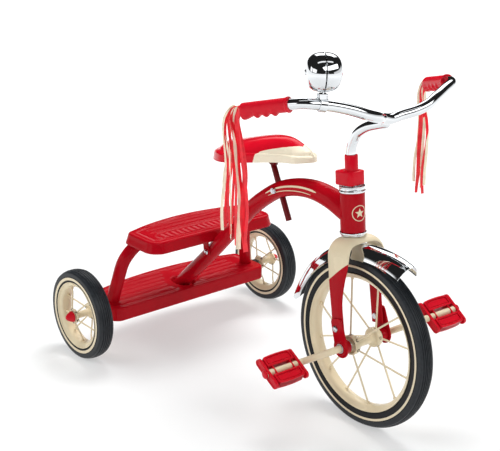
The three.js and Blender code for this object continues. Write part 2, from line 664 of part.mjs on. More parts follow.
function makeHandlebar() {
  const right = [...BAR_HALF].reverse().map(([x, y, z]) => [x, -y, z]);
  const path = smooth(...right, [543.5, -21, 551], [541, 0, 547.3], [543.5, 21, 551], ...BAR_HALF);
  const bar = swept(path, 38, 9, zAxis, () => BAR_RADIUS);
  const rise = [[464, 500], [474, 513], [492, 526], [512, 535.5], [536, 546.5]];
  const stemPath = new THREE.CatmullRomCurve3(
    [
      headPoint(HEAD.length + 24 + 2 * GAP),
      headPoint(HEAD.length + 45),
      headPoint(HEAD.length + 70),
      ...rise.map(([x, z]) => new THREE.Vector3(x, 0, z)),
    ],
    false,
    "centripetal",
  );
  const stem = swept(stemPath, 14, 10, yAxis, () => BAR_RADIUS - 0.2);
  return join(bar, stem);
}

// A grip with a flange towards the rider's front, and finger ridges beneath.
function makeGrip(side) {
  const start = GRIP_START.clone();
  const end = GRIP_END.clone();
  const path = new THREE.LineCurve3(start, end);
  const ridges = (t) => 1.7 * Math.max(0, Math.cos((t - 0.42) * Math.PI * 2 * 4.6)) * smoothstep(t, 0.3, 0.36);
  const radius = (t) => (t < 0.07 ? GRIP_RADIUS + 1.4 : GRIP_RADIUS - 0.5 * smoothstep(t, 0.9, 1));
  const body = swept(path, 24, 10, zAxis, radius);
  const position = body.getAttribute("position");
  const along = new THREE.Vector3().subVectors(end, start);
  const axisPoint = new THREE.Vector3();
  for (let i = 0; i < position.count; i++) {
    axisPoint.fromBufferAttribute(position, i).sub(start);
    const t = axisPoint.dot(along) / along.lengthSq();
    const below = start.z + along.z * t - position.getZ(i);
    if (below > 5 && t < 0.97) position.setZ(i, position.getZ(i) - ridges(t) * (below / GRIP_RADIUS));
  }
  const boreStart = start.clone().addScaledVector(along, -0.05);
  const boreEnd = start.clone().addScaledVector(along, 0.965);
  const bore = barBetween(boreStart, boreEnd, BAR_RADIUS + 0.8, 12);
  return sided(cut(body, bore), side);
}

// The bundle of ribbons that hangs from the plug in a grip's end.
function makeStreamer(side) {
  const top = GRIP_END.clone();
  const long = side > 0 ? 196 : 218;
  const path = smooth(
    [top.x - 2, top.y + 1, top.z],
    [top.x - 8, top.y + 4, top.z - 5],
    [top.x - 9, top.y + 6, top.z - 26],
    [top.x - 7, top.y + 6, top.z - 90],
    [top.x - 4, top.y + 5, top.z - long],
  );
  const spread = (t) => 4 + (side > 0 ? 14 : 24) * smoothstep(t, 0.02, 0.5);
  const deep = (t) => 3.5 + 3.5 * smoothstep(t, 0.1, 0.5);
  return sided(swept(path, 9, 8, xAxis, spread, deep), side);
}

// ---------- bell ----------
const bellAzimuth = THREE.MathUtils.degToRad(BELL.azimuth);

function makeBellDome(side) {
  const { radius, halfLength } = BELL;
  const wall = 1.6;
  const outline = [];
  const steps = 5;
  for (let i = 0; i <= steps; i++) {
    const a = (Math.PI / 2) * (1 - i / steps);
    outline.push([radius * Math.cos(a) ** 0.72, 1 + (halfLength - 1) * Math.sin(a) ** 0.8]);
  }
  for (let i = steps; i >= 0; i--) {
    const a = (Math.PI / 2) * (1 - i / steps);
    outline.push([(radius - wall) * Math.cos(a) ** 0.72, 1 + (halfLength - 1 - wall) * Math.sin(a) ** 0.8]);
  }
  const dome = cut(spindle(outline, 18), barY(2.4 + GAP, 0, 40, 12));
  if (side < 0) dome.rotateZ(Math.PI);
  return dome.rotateZ(bellAzimuth - Math.PI / 2);
}

// The spindle through both domes, and the post and band that hold them on the bar.
function makeBellMount() {
  const across = barY(2.4, -BELL.halfLength - 1.8, BELL.halfLength + 1.8, 12);
  const ends = [-1, 1].map((s) => barY(4.4, s * (BELL.halfLength + 1.2) - 0.8, s * (BELL.halfLength + 1.2) + 0.8, 16));
  const core = barY(6, -7, 7, 12);
  const axle = join(across, core, ...ends).rotateZ(bellAzimuth - Math.PI / 2);
  const post = new THREE.BoxGeometry(10, 1.4, 46).translate(0, 0, -23).rotateZ(bellAzimuth - Math.PI / 2);
  return join(axle, post);
}

// ---------- front wheel, crank and pedals ----------
const PEDAL_CAP_DEPTH = 1.6; // how far the crank rod reaches into its cap
const crankOut = new THREE.Vector3(Math.cos(CRANK.angle), 0, Math.sin(CRANK.angle));

function makeCrank() {
  const spindleEnd = CRANK.pedalY + CRANK.pedalWidth / 2 + 1.2 + PEDAL_CAP_DEPTH - GAP;
  const point = (side, y, out) => crankOut.clone().multiplyScalar(side * out).setY(side * y);
  const stations = [[-1, spindleEnd, CRANK.throw], [-1, 84, CRANK.throw], [-1, 66, 0]];
  const points = [...stations, ...stations.map(([, y, out]) => [1, y, out]).reverse()];
  const wire = bentWire(points.map(([side, y, out]) => point(side, y, out)), 7);
  return swept(wire, 46, 8, new THREE.Vector3(-crankOut.z, 0, crankOut.x), () => CRANK.rod);
}

// A pedal: two tread bars between end plates, open in the middle, with grooves along each bar.
function makePedal() {
  const { pedalWidth } = CRANK;
  const [length, thick, barLength] = [58, 15, 20.4];
  const pieces = [];
  for (const side of [-1, 1]) {
    const barShape = roundedRect(barLength, thick, 5);
    const bar = slab(barShape, pedalWidth, 3).rotateX(Math.PI / 2);
    const groove = new THREE.BoxGeometry(6, pedalWidth - 14, 3);
    const cuts = [-1, 1].map((face) => groove.clone().translate(0, -pedalWidth / 2, (face * thick) / 2));
    pieces.push(cut(bar, ...cuts).translate(side * (length / 2 - barLength / 2), pedalWidth / 2, 0));
    const plate = slab(roundedRect(length + 4, thick - 1, 6.5), 7, 3).rotateX(Math.PI / 2);
    pieces.push(plate.translate(0, side * (pedalWidth / 2 - 4.5) + 3.5, 0));
  }
  return cut(join(...pieces), barY(CRANK.rod + RUNNING_GAP, -50, 50, 20));
}

function makePedalCap(side) {
  const inner = CRANK.pedalWidth / 2 + 1.2;
  const outline = [[0, inner + 3.4], [5.4, inner + 3.2], [7.2, inner + 2], [7.6, inner], [0, inner]];
  const cap = cut(spindle(outline, 16), barY(CRANK.rod + GAP, inner - 1, inner + PEDAL_CAP_DEPTH, 16));
  return side > 0 ? cap : cap.rotateZ(Math.PI);
}

const BAR_AT_BELL = new THREE.Vector3(533.6, -139, 583.9);
const BAR_DIRECTION = new THREE.Vector3(11, 27, -4.5).normalize();

// The band round the bar and the post that carries the bell.
function makeBellBracket() {
  const point = (along) => BAR_AT_BELL.clone().addScaledVector(BAR_DIRECTION, along);
  const band = barBetween(point(-6), point(6), BAR_RADIUS + 2.4, 24);
  const bar = barBetween(point(-20), point(20), BAR_RADIUS + 0.6, 24);
  const saddle = new THREE.BoxGeometry(13, 11, 10).rotateZ(bellAzimuth - Math.PI / 2);
  at(saddle, new THREE.Vector3(BELL.centre.x, BELL.centre.y, BAR_AT_BELL.z + BAR_RADIUS + 4.8));
  const mount = at(makeBellMount(), BELL.centre);
  return cut(join(band, saddle, mount), bar);
}

function makeSteeringNodes() {
  addPart(turning, "fork", makeFork(), CREAM_PAINT);
  addPart(turning, "head_nut", makeHeadNut(), CHROME);
  addPart(turning, "head_collar", makeHeadCollar(), RED_PLASTIC);
  addPart(turning, "front_fender", makeFender(), CHROME);
  addPart(turning, "fender_bolt", makeFenderBolt(), ZINC);
  addPart(turning, "handlebar", makeHandlebar(), CHROME);
  for (const [name, side] of Object.entries(SIDES)) {
    addPart(turning, `fork_end_${name}`, makeForkEnd(side), RED_PAINT);
    addPart(turning, `fork_bolt_${name}`, makeForkBolt(side), ZINC, FORK_BOLT);
    addPart(turning, `crank_bearing_${name}`, makeBearing(side), ZINC, HUB);
    addPart(turning, `grip_${name}`, makeGrip(side), RED_PLASTIC);
    addPart(turning, `streamer_${name}`, makeStreamer(side), STREAMER);
  }
  addPart(turning, "bell_bracket", makeBellBracket(), CHROME);
  addPart(turning, "bell_dome_inner", makeBellDome(1), CHROME, BELL.centre);
  addPart(turning, "bell_dome_outer", makeBellDome(-1), CHROME, BELL.centre);
}
makeSteeringNodes();

function makeFrontWheelNodes() {
  addPart(turning, "front_tyre", makeTyre(FRONT, 36), RUBBER, HUB);
  addPart(turning, "front_rim", makeRim(FRONT, 36), CREAM_PAINT, HUB);
  addPart(turning, "front_hub", makeSpokedHub(FRONT_HUB, FRONT, CRANK.rod + GAP), CREAM_PAINT, HUB);
  addPart(turning, "crank_axle", makeCrank(), CREAM_PAINT, HUB);
  const tilts = { right: THREE.MathUtils.degToRad(28), left: THREE.MathUtils.degToRad(34) };
  for (const [name, side] of Object.entries(SIDES)) {
    const place = HUB.clone().addScaledVector(crankOut, side * CRANK.throw).setY(side * CRANK.pedalY);
    addPart(turning, `pedal_${name}`, makePedal().rotateY(tilts[name]), RED_PLASTIC, place);
    addPart(turning, `pedal_cap_${name}`, makePedalCap(side), RED_PLASTIC, place);
  }
}
makeFrontWheelNodes();

export default model;
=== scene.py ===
"""Looks of a children's tricycle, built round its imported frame.

Lengths below are in millimetres, measured forward from the rear axle (x), to the rider's left (y) and up (z).
Shapes on the steering are drawn as if steered straight ahead, and turned with it when their mesh is made.
"""

import math
import random

import bmesh
import bpy
import numpy as np
from mathutils import Matrix, Vector


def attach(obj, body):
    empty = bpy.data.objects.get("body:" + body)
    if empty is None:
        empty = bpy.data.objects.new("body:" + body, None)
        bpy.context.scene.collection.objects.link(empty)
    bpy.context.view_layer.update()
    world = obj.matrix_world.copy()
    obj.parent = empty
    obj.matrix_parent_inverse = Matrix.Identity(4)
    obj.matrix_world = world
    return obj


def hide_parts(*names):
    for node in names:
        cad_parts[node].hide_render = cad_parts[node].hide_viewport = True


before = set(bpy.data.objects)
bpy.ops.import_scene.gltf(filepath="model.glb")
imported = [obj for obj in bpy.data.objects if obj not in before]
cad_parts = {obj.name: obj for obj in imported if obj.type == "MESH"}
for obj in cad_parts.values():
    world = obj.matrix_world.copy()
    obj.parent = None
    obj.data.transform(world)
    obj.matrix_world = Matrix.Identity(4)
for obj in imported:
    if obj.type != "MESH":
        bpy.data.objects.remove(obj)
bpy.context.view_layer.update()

MM = 0.001
CENTRE_X = 288.3
REAR_WHEEL_Y = 241.0
REAR_AXLE_Z = 88.9
HUB = np.array([512.5, 0.0, 152.4])
HEAD_TILT = math.radians(6.67)
HEAD_FOOT = np.array([472.9, 0.0, 341.6])
HEAD_AXIS = np.array([-math.sin(HEAD_TILT), 0.0, math.cos(HEAD_TILT)])
HEAD_LENGTH = 67.2
REST_STEER = math.radians(-3.7)
X, Y, Z = np.eye(3)


# ---------- camera and light ----------
def make_camera():
    data = bpy.data.cameras.new("camera")
    data.sensor_width = 36.0
    data.lens = 70.81
    data.clip_end = 60
    camera = bpy.data.objects.new("camera", data)
    bpy.context.scene.collection.objects.link(camera)
    forward = Vector((-0.703, 0.634, -0.323)).normalized()
    right = forward.cross(Vector((-0.259, 0.194, 0.946))).normalized()
    up = right.cross(forward)
    turn = Matrix((right, up, -forward)).transposed()
    camera.matrix_world = Matrix.Translation((1.2323, -1.1791, 0.8802)) @ turn.to_4x4()
    bpy.context.scene.camera = camera


def area_light(name, place, target, size, power):
    data = bpy.data.lights.new(name, "AREA")
    data.shape = "RECTANGLE"
    data.size, data.size_y = size
    data.energy = power
    light = bpy.data.objects.new(name, data)
    bpy.context.scene.collection.objects.link(light)
    light.location = place
    aim = Vector(target) - Vector(place)
    light.rotation_euler = aim.to_track_quat("-Z", "Y").to_euler()
    light.visible_glossy = False


CARD_EDGE = 2.5  # half the width of a card's soft edge, in degrees
DARK_WALLS = 0.018  # brightness that gloss mirrors between the cards
WHITE_SURROUND = 0.42  # brightness that matt surfaces gather


def new_node(tree, kind, *sources, operation=None, **constants):
    """A shader node fed by the given sockets in order, with constants on inputs named with _ for a space."""
    made = tree.nodes.new("ShaderNode" + kind)
    if operation:
        made.operation = operation
    for key, value in constants.items():
        made.inputs[key.replace("_", " ")].default_value = value
    for target, source in zip(made.inputs, sources):
        tree.links.new(source, target)
    return made


def studio_box(tree, turn, height, half_turn, half_height, level):
    """One softly edged bright card of the studio, placed by its turn and height as seen from the tricycle."""
    turn, height = math.radians(turn), math.radians(height)
    ahead = Vector((math.cos(turn) * math.cos(height), math.sin(turn) * math.cos(height), math.sin(height)))
    across = Vector((-math.sin(turn), math.cos(turn), 0))
    up = ahead.cross(across)
    view = new_node(tree, "TexCoord").outputs["Generated"]

    def along(axis):
        part = new_node(tree, "VectorMath", view, operation="DOT_PRODUCT")
        part.inputs[1].default_value = axis
        return part.outputs["Value"]

    facing = along(ahead)
    edges = []
    for axis, half, brightness in ((across, half_turn, level), (up, half_height, 1.0)):
        angle = new_node(tree, "Math", along(axis), facing, operation="ARCTAN2")
        size = new_node(tree, "Math", angle.outputs[0], operation="ABSOLUTE")
        edge = new_node(tree, "MapRange", size.outputs[0], From_Min=math.radians(half + CARD_EDGE),
                        From_Max=math.radians(half - CARD_EDGE), To_Max=brightness)
        edge.interpolation_type = "SMOOTHSTEP"
        edges.append(edge.outputs[0])
    return new_node(tree, "Math", *edges, operation="MULTIPLY").outputs[0]


STUDIO_BOXES = (
    # compass turn, height, half width, half height, brightness
    (130, 41, 21, 14, 2.4), (6, 35, 34, 11, 3.2), (45, 5, 46, 7, 0.8), (-95, 12, 18, 9, 1.6),
    (-130, 10, 10, 8, 1.8), (-30, 72, 26, 4, 1.4),
)


def make_world():
    """White all round for the floor and matt surfaces, and dark walls with bright cards for the gloss."""
    world = bpy.data.worlds.new("studio")
    bpy.context.scene.world = world
    world.use_nodes = True
    tree = world.node_tree
    tree.nodes.clear()
    total = None
    for box_of_light in STUDIO_BOXES:
        card = studio_box(tree, *box_of_light)
        total = card if total is None else new_node(tree, "Math", total, card, operation="ADD").outputs[0]
    walls = new_node(tree, "Math", total, operation="ADD")
    walls.inputs[1].default_value = DARK_WALLS
    studio = new_node(tree, "Background", Color=(1, 1, 1, 1))
    tree.links.new(walls.outputs[0], studio.inputs["Strength"])
    white = new_node(tree, "Background", Color=(1, 1, 1, 1), Strength=WHITE_SURROUND)
    path = new_node(tree, "LightPath")
    mix = new_node(tree, "MixShader", path.outputs["Is Glossy Ray"], white.outputs[0], studio.outputs[0])
    new_node(tree, "OutputWorld", mix.outputs[0])


def make_studio():
    make_camera()
    make_world()
    area_light("back", (-0.7, 0.9, 2.6), (0.0, 0.0, 0.2), (1.4, 1.0), 66)
    area_light("front", (2.3, 0.3, 1.9), (0.1, 0.0, 0.3), (0.5, 1.5), 18)
    area_light("side", (-0.9, -2.4, 2.0), (0.0, 0.0, 0.25), (1.5, 0.5), 25)
    floor = loft_object("studio_floor", *sweep_floor(), [plain_floor()])
    scene = bpy.context.scene
    scene.view_settings.view_transform = "Standard"
    scene.view_settings.look = "None"


def sweep_floor():
    """A wide round floor whose far edge turns up a little, in metres."""
    profile = [(0.01, 0), (2, 0), (8, 0), (20, 0), (24, 0.15), (26, 0.5)]
    sides = 64
    ring = np.linspace(0, 2 * math.pi, sides, endpoint=False)
    rows = [np.stack([r * np.cos(ring), r * np.sin(ring), np.full(sides, z)], 1) for r, z in profile]
    verts, faces = loft(rows, caps=False)
    middle = tuple(range(sides))
    return verts, [*faces, middle]


def plain_floor():
    """A pale floor that glows a little, and more the further it lies from the tricycle, like a lit sweep."""
    made = material("floor", (0.46, 0.47, 0.47), 0.9, tint=0.01, scale=6, bump=0.0, specular=0.0)
    tree = made.node_tree
    shader = tree.nodes["Principled BSDF"]
    shader.inputs["Emission Color"].default_value = (1, 1, 1, 1)
    place = new_node(tree, "TexCoord")
    reach = new_node(tree, "VectorMath", place.outputs["Object"], operation="LENGTH")
    glow = new_node(tree, "MapRange", reach.outputs["Value"], From_Min=0.35, From_Max=3.2, To_Min=0.47,
                    To_Max=1.0)
    glow.interpolation_type = "SMOOTHSTEP"
    tree.links.new(glow.outputs[0], shader.inputs["Emission Strength"])
    return made


# ---------- materials ----------
COAT_ROUGHNESS = 0.05
GRAIN_DEPTH = 0.0002  # metres


def material(name, colour, roughness, metallic=0.0, coat=0.0, tint=0.08, scale=60, bump=0.02, bump_scale=900,
             rough_spread=0.05, specular=0.5):
    """A surface whose colour, gloss and relief vary slightly with place."""
    made = bpy.data.materials.new(name)
    made.use_nodes = True
    tree = made.node_tree
    nodes, links = tree.nodes, tree.links
    shader = nodes["Principled BSDF"]
    shader.inputs["Metallic"].default_value = metallic
    shader.inputs["Coat Weight"].default_value = coat
    shader.inputs["Coat Roughness"].default_value = COAT_ROUGHNESS
    shader.inputs["Specular IOR Level"].default_value = specular
    place = nodes.new("ShaderNodeTexCoord")
    patches = nodes.new("ShaderNodeTexNoise")
    patches.inputs["Scale"].default_value = scale
    patches.inputs["Detail"].default_value = 4
    links.new(place.outputs["Object"], patches.inputs["Vector"])
    ramp = nodes.new("ShaderNodeValToRGB")
    ramp.color_ramp.elements[0].position = 0.3
    ramp.color_ramp.elements[1].position = 0.7
    ramp.color_ramp.elements[0].color = (*[c * (1 - tint) for c in colour], 1)
    ramp.color_ramp.elements[1].color = (*[min(1, c * (1 + tint)) for c in colour], 1)
    links.new(patches.outputs["Fac"], ramp.inputs[0])
    links.new(ramp.outputs[0], shader.inputs["Base Color"])
    gloss = nodes.new("ShaderNodeMapRange")
    gloss.inputs["To Min"].default_value = max(0.02, roughness - rough_spread)
    gloss.inputs["To Max"].default_value = roughness + rough_spread
    links.new(patches.outputs["Fac"], gloss.inputs["Value"])
    links.new(gloss.outputs[0], shader.inputs["Roughness"])
    if bump > 0:
        grain = nodes.new("ShaderNodeTexNoise")
        grain.inputs["Scale"].default_value = bump_scale
        grain.inputs["Detail"].default_value = 3
        links.new(place.outputs["Object"], grain.inputs["Vector"])
        relief = nodes.new("ShaderNodeBump")
        relief.inputs["Strength"].default_value = bump
        relief.inputs["Distance"].default_value = GRAIN_DEPTH
        links.new(grain.outputs["Fac"], relief.inputs["Height"])
        links.new(relief.outputs[0], shader.inputs["Normal"])
    return made


RED = (0.41, 0.003, 0.010)
RED_LIGHT = (0.60, 0.004, 0.017)
CREAM = (0.76, 0.66, 0.46)


def make_materials():
    return {
        "red_paint": material("red_enamel", RED, 0.14, coat=0.04, tint=0.05, scale=25, bump=0.1,
                              bump_scale=240, specular=0.07),
        # A darker copy of the red enamel for the seat bracket and seat post: painted shade for the parts
        # under the saddle.
        "red_dark": material("red_enamel_painted_shade", (0.13, 0.001, 0.004), 0.3, coat=0.1, scale=40, bump=0.1,
                             specular=0.15),
        "cream_paint": material("cream_enamel", CREAM, 0.26, coat=0.15, tint=0.03, scale=25, bump=0.1,
                                bump_scale=260, specular=0.3),
        "chrome": material("chrome_plate", (0.74, 0.76, 0.78), 0.05, 1.0, tint=0.02, rough_spread=0.02,
                           bump=0.03, bump_scale=120),
        "zinc": material("zinc_plate", (0.62, 0.64, 0.68), 0.28, 1.0, tint=0.1, scale=400, bump=0.2,
                         bump_scale=1500),
        "rubber": material("rubber", (0.0045, 0.005, 0.0065), 0.36, tint=0.25, scale=120, bump=0.3,
                           bump_scale=1400, specular=0.22),
        "tread": material("rubber_tread", (0.016, 0.019, 0.023), 0.42, tint=0.25, scale=160, bump=0.4,
                          bump_scale=1100, specular=0.3),
        "cream_rubber": material("whitewall", (0.80, 0.69, 0.49), 0.5, tint=0.04, scale=90, bump=0.2,
                                 bump_scale=1200),
        "red_plastic": material("red_plastic", RED_LIGHT, 0.3, tint=0.06, scale=90, bump=0.2, bump_scale=1300,
                                specular=0.22),
        "red_gloss": material("red_gloss", RED_LIGHT, 0.18, coat=0.05, tint=0.05, scale=60, bump=0.08,
                              bump_scale=500, specular=0.12),
        "cream_plastic": material("cream_plastic", (0.85, 0.78, 0.61), 0.27, tint=0.03, scale=40, bump=0.12,
                                  bump_scale=900),
        # Dark steel for the axle spacers; the same dark colour is also painted shade in the spoke holes of
        # the hubs.
        "dark_steel": material("dark_steel", (0.05, 0.052, 0.056), 0.45, 0.8, tint=0.2, scale=200, bump=0.3),
        "ribbon_red": material("ribbon_red", (0.86, 0.012, 0.026), 0.32, tint=0.18, scale=70, bump=0.4,
                               bump_scale=300),
        "ribbon_cream": material("ribbon_cream", (0.95, 0.86, 0.66), 0.34, tint=0.12, scale=70, bump=0.4,
                                 bump_scale=300),
    }


# ---------- geometry helpers ----------
def smoothstep(x, low, high):
    t = np.clip((np.asarray(x, float) - low) / (high - low), 0, 1)
    return t * t * (3 - 2 * t)


def unit(v):
    v = np.asarray(v, float)
    return v / np.linalg.norm(v)


def rotation(axis, angle):
    a = unit(axis)
    k = np.array([[0, -a[2], a[1]], [a[2], 0, -a[0]], [-a[1], a[0], 0]])
    return np.eye(3) + math.sin(angle) * k + (1 - math.cos(angle)) * (k @ k)


STEER_TURN = rotation(HEAD_AXIS, REST_STEER)


def to_row(points, steered):
    points = np.asarray(points, float)
    if steered:
        points = (points - HEAD_FOOT) @ STEER_TURN.T + HEAD_FOOT
    return (points - np.array([CENTRE_X, 0, 0])) * MM


def head_point(along):
    return HEAD_FOOT + HEAD_AXIS * along


def on_head_axis(verts):
    """Moves points drawn along z at the origin to the steering axis."""
    return np.asarray(verts, float) @ rotation(Y, -HEAD_TILT).T + HEAD_FOOT


def curve(points, steps):
    """Points along a centripetal Catmull-Rom curve through the given ones."""
    p = np.array(points, float)
    p = np.vstack([2 * p[0] - p[1], p, 2 * p[-1] - p[-2]])
    out = []
    spans = len(points) - 1
    for i in range(steps + 1):
        s = i / steps * spans
        k = min(int(s), spans - 1)
        t = s - k
        p0, p1, p2, p3 = p[k:k + 4]
        d0, d1, d2 = (max(np.linalg.norm(b - a) ** 0.5, 1e-4) for a, b in ((p0, p1), (p1, p2), (p2, p3)))
        m1 = (p1 - p0) / d0 - (p2 - p0) / (d0 + d1) + (p2 - p1) / d1
        m2 = (p2 - p1) / d1 - (p3 - p1) / (d1 + d2) + (p3 - p2) / d2
        m1, m2 = m1 * d1, m2 * d1
        c2, c3 = -3 * p1 + 3 * p2 - 2 * m1 - m2, 2 * p1 - 2 * p2 + m1 + m2
        out.append(p1 + m1 * t + c2 * t * t + c3 * t ** 3)
    return np.array(out)


def loft(rows, caps=True, closed=False):
    """Joins rings of equal length into one skin; its ends are capped, or it closes on itself."""
    rows = [np.asarray(r, float) for r in rows]
    n = len(rows[0])
    verts = np.vstack(rows)
    faces = []
    count = len(rows)
    for i in range(count if closed else count - 1):
        a, b = i * n, ((i + 1) % count) * n
        for j in range(n):
            k = (j + 1) % n
            faces.append((a + j, a + k, b + k, b + j))
    if caps and not closed:
        faces.append(tuple(range(n))[::-1])
        faces.append(tuple(range((count - 1) * n, count * n)))
    return verts, faces


def side_frames(path, side):
    tangents = np.gradient(path, axis=0)
    tangents /= np.linalg.norm(tangents, axis=1)[:, None]
    u = side - (tangents @ side)[:, None] * tangents
    u /= np.linalg.norm(u, axis=1)[:, None]
    return u, np.cross(u, tangents), tangents


def sweep(path, section, side):
    """Carries section(i, t), a ring of (across, deep) offsets, along a path."""
    path = np.asarray(path, float)
    u, v, _ = side_frames(path, np.asarray(side, float))
    rows = []
    for i, centre in enumerate(path):
        ring = np.asarray(section(i, i / (len(path) - 1)), float)
        rows.append(centre + ring[:, :1] * u[i] + ring[:, 1:2] * v[i])
    return loft(rows)


def circle(radius, sides=40, deep=None):
    a = np.linspace(0, 2 * math.pi, sides, endpoint=False)
    return np.stack([radius * np.cos(a), (deep or radius) * np.sin(a)], 1)


def superellipse(across, deep, power, sides=48):
    a = np.linspace(0, 2 * math.pi, sides, endpoint=False)
    c, s = np.cos(a), np.sin(a)
    return np.stack([across * np.sign(c) * np.abs(c) ** (2 / power),
                     deep * np.sign(s) * np.abs(s) ** (2 / power)], 1)


def tube(path, radius, side=Y, sides=40):
    at = radius if callable(radius) else lambda t: radius
    return sweep(path, lambda i, t: circle(at(t), sides), side)


def turned(profile, segments=96, closed=True, centre=(0, 0, 0)):
    """A solid of revolution about the y axis from (radius, y) points."""
    a = np.linspace(0, 2 * math.pi, segments, endpoint=False)
    rows = [np.stack([r * np.cos(a), np.full(segments, y), r * np.sin(a)], 1) for r, y in profile]
    verts, faces = loft(rows, caps=False, closed=closed)
    return verts + np.asarray(centre, float), faces


def rounded(points, radius, steps=4):
    """An open outline of 2-D points with its inner corners rounded."""
    p = [np.array(q, float) for q in points]
    out = [p[0]]
    for i in range(1, len(p) - 1):
        a, b, c = p[i - 1], p[i], p[i + 1]
        r = min(radius, np.linalg.norm(a - b) * 0.49, np.linalg.norm(c - b) * 0.49)
        s, e = b + unit(a - b) * r, b + unit(c - b) * r
        for k in range(steps + 1):
            t = k / steps
            out.append((1 - t) ** 2 * s + 2 * t * (1 - t) * b + t * t * e)
    return out + [p[-1]]


def box(low, high):
    low, high = np.asarray(low, float), np.asarray(high, float)
    corners = [(0, 0, 0), (1, 0, 0), (1, 1, 0), (0, 1, 0), (0, 0, 1), (1, 0, 1), (1, 1, 1), (0, 1, 1)]
    faces = [(0, 3, 2, 1), (4, 5, 6, 7), (0, 1, 5, 4), (1, 2, 6, 5), (2, 3, 7, 6), (3, 0, 4, 7)]
    return low + np.array(corners) * (high - low), faces


def prism(outline, low, high, axis="y"):
    """A flat outline of (a, b) points given thickness along an axis: (x, z) along y, or (x, y) along z."""
    ring = np.asarray(outline, float)
    rows = []
    for level in (low, high):
        flat = np.full(len(ring), float(level))
        columns = [ring[:, 0], flat, ring[:, 1]] if axis == "y" else [ring[:, 0], ring[:, 1], flat]
        rows.append(np.stack(columns, 1))
    return loft(rows)


def rounded_rect(length, width, corner, steps=6):
    out = []
    for cx, cy, start in ((1, -1, -90), (1, 1, 0), (-1, 1, 90), (-1, -1, 180)):
        for k in range(steps + 1):
            a = math.radians(start + 90 * k / steps)
            out.append((cx * (length / 2 - corner) + corner * math.cos(a),
                        cy * (width / 2 - corner) + corner * math.sin(a)))
    return out


def between(start, end, radius, sides=16):
    start, end = np.asarray(start, float), np.asarray(end, float)
    side = X if abs(unit(end - start)[0]) < 0.7 else Z
    return tube(np.array([start, end]), radius, side, sides)


def joined(*shapes):
    verts, faces, base = [], [], 0
    for v, f in shapes:
        verts.append(np.asarray(v, float))
        faces += [tuple(k + base for k in face) for face in f]
        base += len(v)
    return np.vstack(verts), faces


def moved(shape, turn=None, shift=(0, 0, 0)):
    verts, faces = shape
    verts = np.asarray(verts, float)
    if turn is not None:
        verts = verts @ np.asarray(turn).T
    return verts + np.asarray(shift, float), faces


def mirrored_y(shape):
    verts, faces = shape
    return np.asarray(verts, float) * np.array([1, -1, 1]), [tuple(reversed(f)) for f in faces]


def for_side(shape, side):
    """A shape drawn on the rider's left as it is, or its mirror image for the right."""
    return shape if side > 0 else mirrored_y(shape)


def loft_object(name, verts, faces, materials, face_material=None, sharp=38, weld=2e-6):
    """A mesh object in metres, with smooth shading broken at its sharp edges."""
    mesh = bpy.data.meshes.new(name)
    mesh.from_pydata([tuple(v) for v in verts], [], [tuple(f) for f in faces])
    for m in materials:
        mesh.materials.append(m)
    if face_material is not None:
        mesh.polygons.foreach_set("material_index", np.asarray(face_material, np.int32))
    made = bmesh.new()
    made.from_mesh(mesh)
    bmesh.ops.remove_doubles(made, verts=made.verts, dist=weld)
    bmesh.ops.recalc_face_normals(made, faces=made.faces)
    made.to_mesh(mesh)
    made.free()
    mesh.shade_smooth()
    mesh.set_sharp_from_angle(angle=math.radians(sharp))
    piece = bpy.data.objects.new(name, mesh)
    bpy.context.scene.collection.objects.link(piece)
    return piece


BEVEL_FROM = math.radians(35)


def add(name, shape, look, body, nodes=(), slot=None, steered=False, bevel=0.0, sharp=38, face_material=None):
    """Makes one piece and ties it to its body. The slot argument is not used."""
    looks = look if isinstance(look, (list, tuple)) else [look]
    piece = loft_object(name, to_row(shape[0], steered), shape[1], [LOOKS[k] for k in looks], face_material,
                        sharp)
    if bevel:
        edge = piece.modifiers.new("edges", "BEVEL")
        edge.width = bevel * MM
        edge.segments = 3
        edge.limit_method = "ANGLE"
        edge.angle_limit = BEVEL_FROM
        edge.harden_normals = True
    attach(piece, body)
    if nodes:
        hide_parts(*nodes)
    return piece


def carry(node, look, bevel=0.0):
    """Shows a CAD node with its own finish, its facets shaded smooth and its edges softened."""
    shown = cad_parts[node]
    shown.data.materials.clear()
    shown.data.materials.append(LOOKS[look])
    weld = shown.modifiers.new("weld", "WELD")
    weld.merge_threshold = 1e-6
    if bevel:
        edge = shown.modifiers.new("edges", "BEVEL")
        edge.width = bevel * MM
        edge.segments = 2
        edge.limit_method = "ANGLE"
        edge.angle_limit = BEVEL_FROM
    split = shown.modifiers.new("split", "EDGE_SPLIT")
    split.split_angle = math.radians(33)
    shown.data.polygons.foreach_set("use_smooth", np.ones(len(shown.data.polygons), bool))


LOOKS = make_materials()
make_studio()


# ---------- frame ----------
MAIN_PATH = [
    (-14, 0, 78.5), (11, 0, 103.5), (90, 0, 181), (160, 0, 254.5), (219, 0, 317), (253, 0, 345),
    (292, 0, 370), (334, 0, 384.5), (378, 0, 390), (420, 0, 385), (462, 0, 371),
]
TUBE_RADIUS = 15.0
HEAD_RADIUS = 21.5
ARCH_LEG = [
    (2.3, 177.6, 78), (6.8, 174.8, 101.7), (12.3, 166.8, 140), (19.2, 158.1, 180), (24, 151, 196),
    (26.5, 138, 209.5), (27, 121, 220), (27, 98, 228),
]
ARCH_RADIUS = 12.7
STEP_BOLT = np.array([107.0, 0, 199.0])
POST_BOLT = np.array([291.5, 0, 370.5])


def main_radius(t):
    return TUBE_RADIUS + 4.5 * smoothstep(t, 0.55, 1)


def main_tube():
    path = curve(MAIN_PATH, 200)
    path = np.vstack([path, path[-1] + unit(path[-1] - path[-2]) * 8])
    return sweep(path, lambda i, t: circle(main_radius(i / 200), 56), Y)


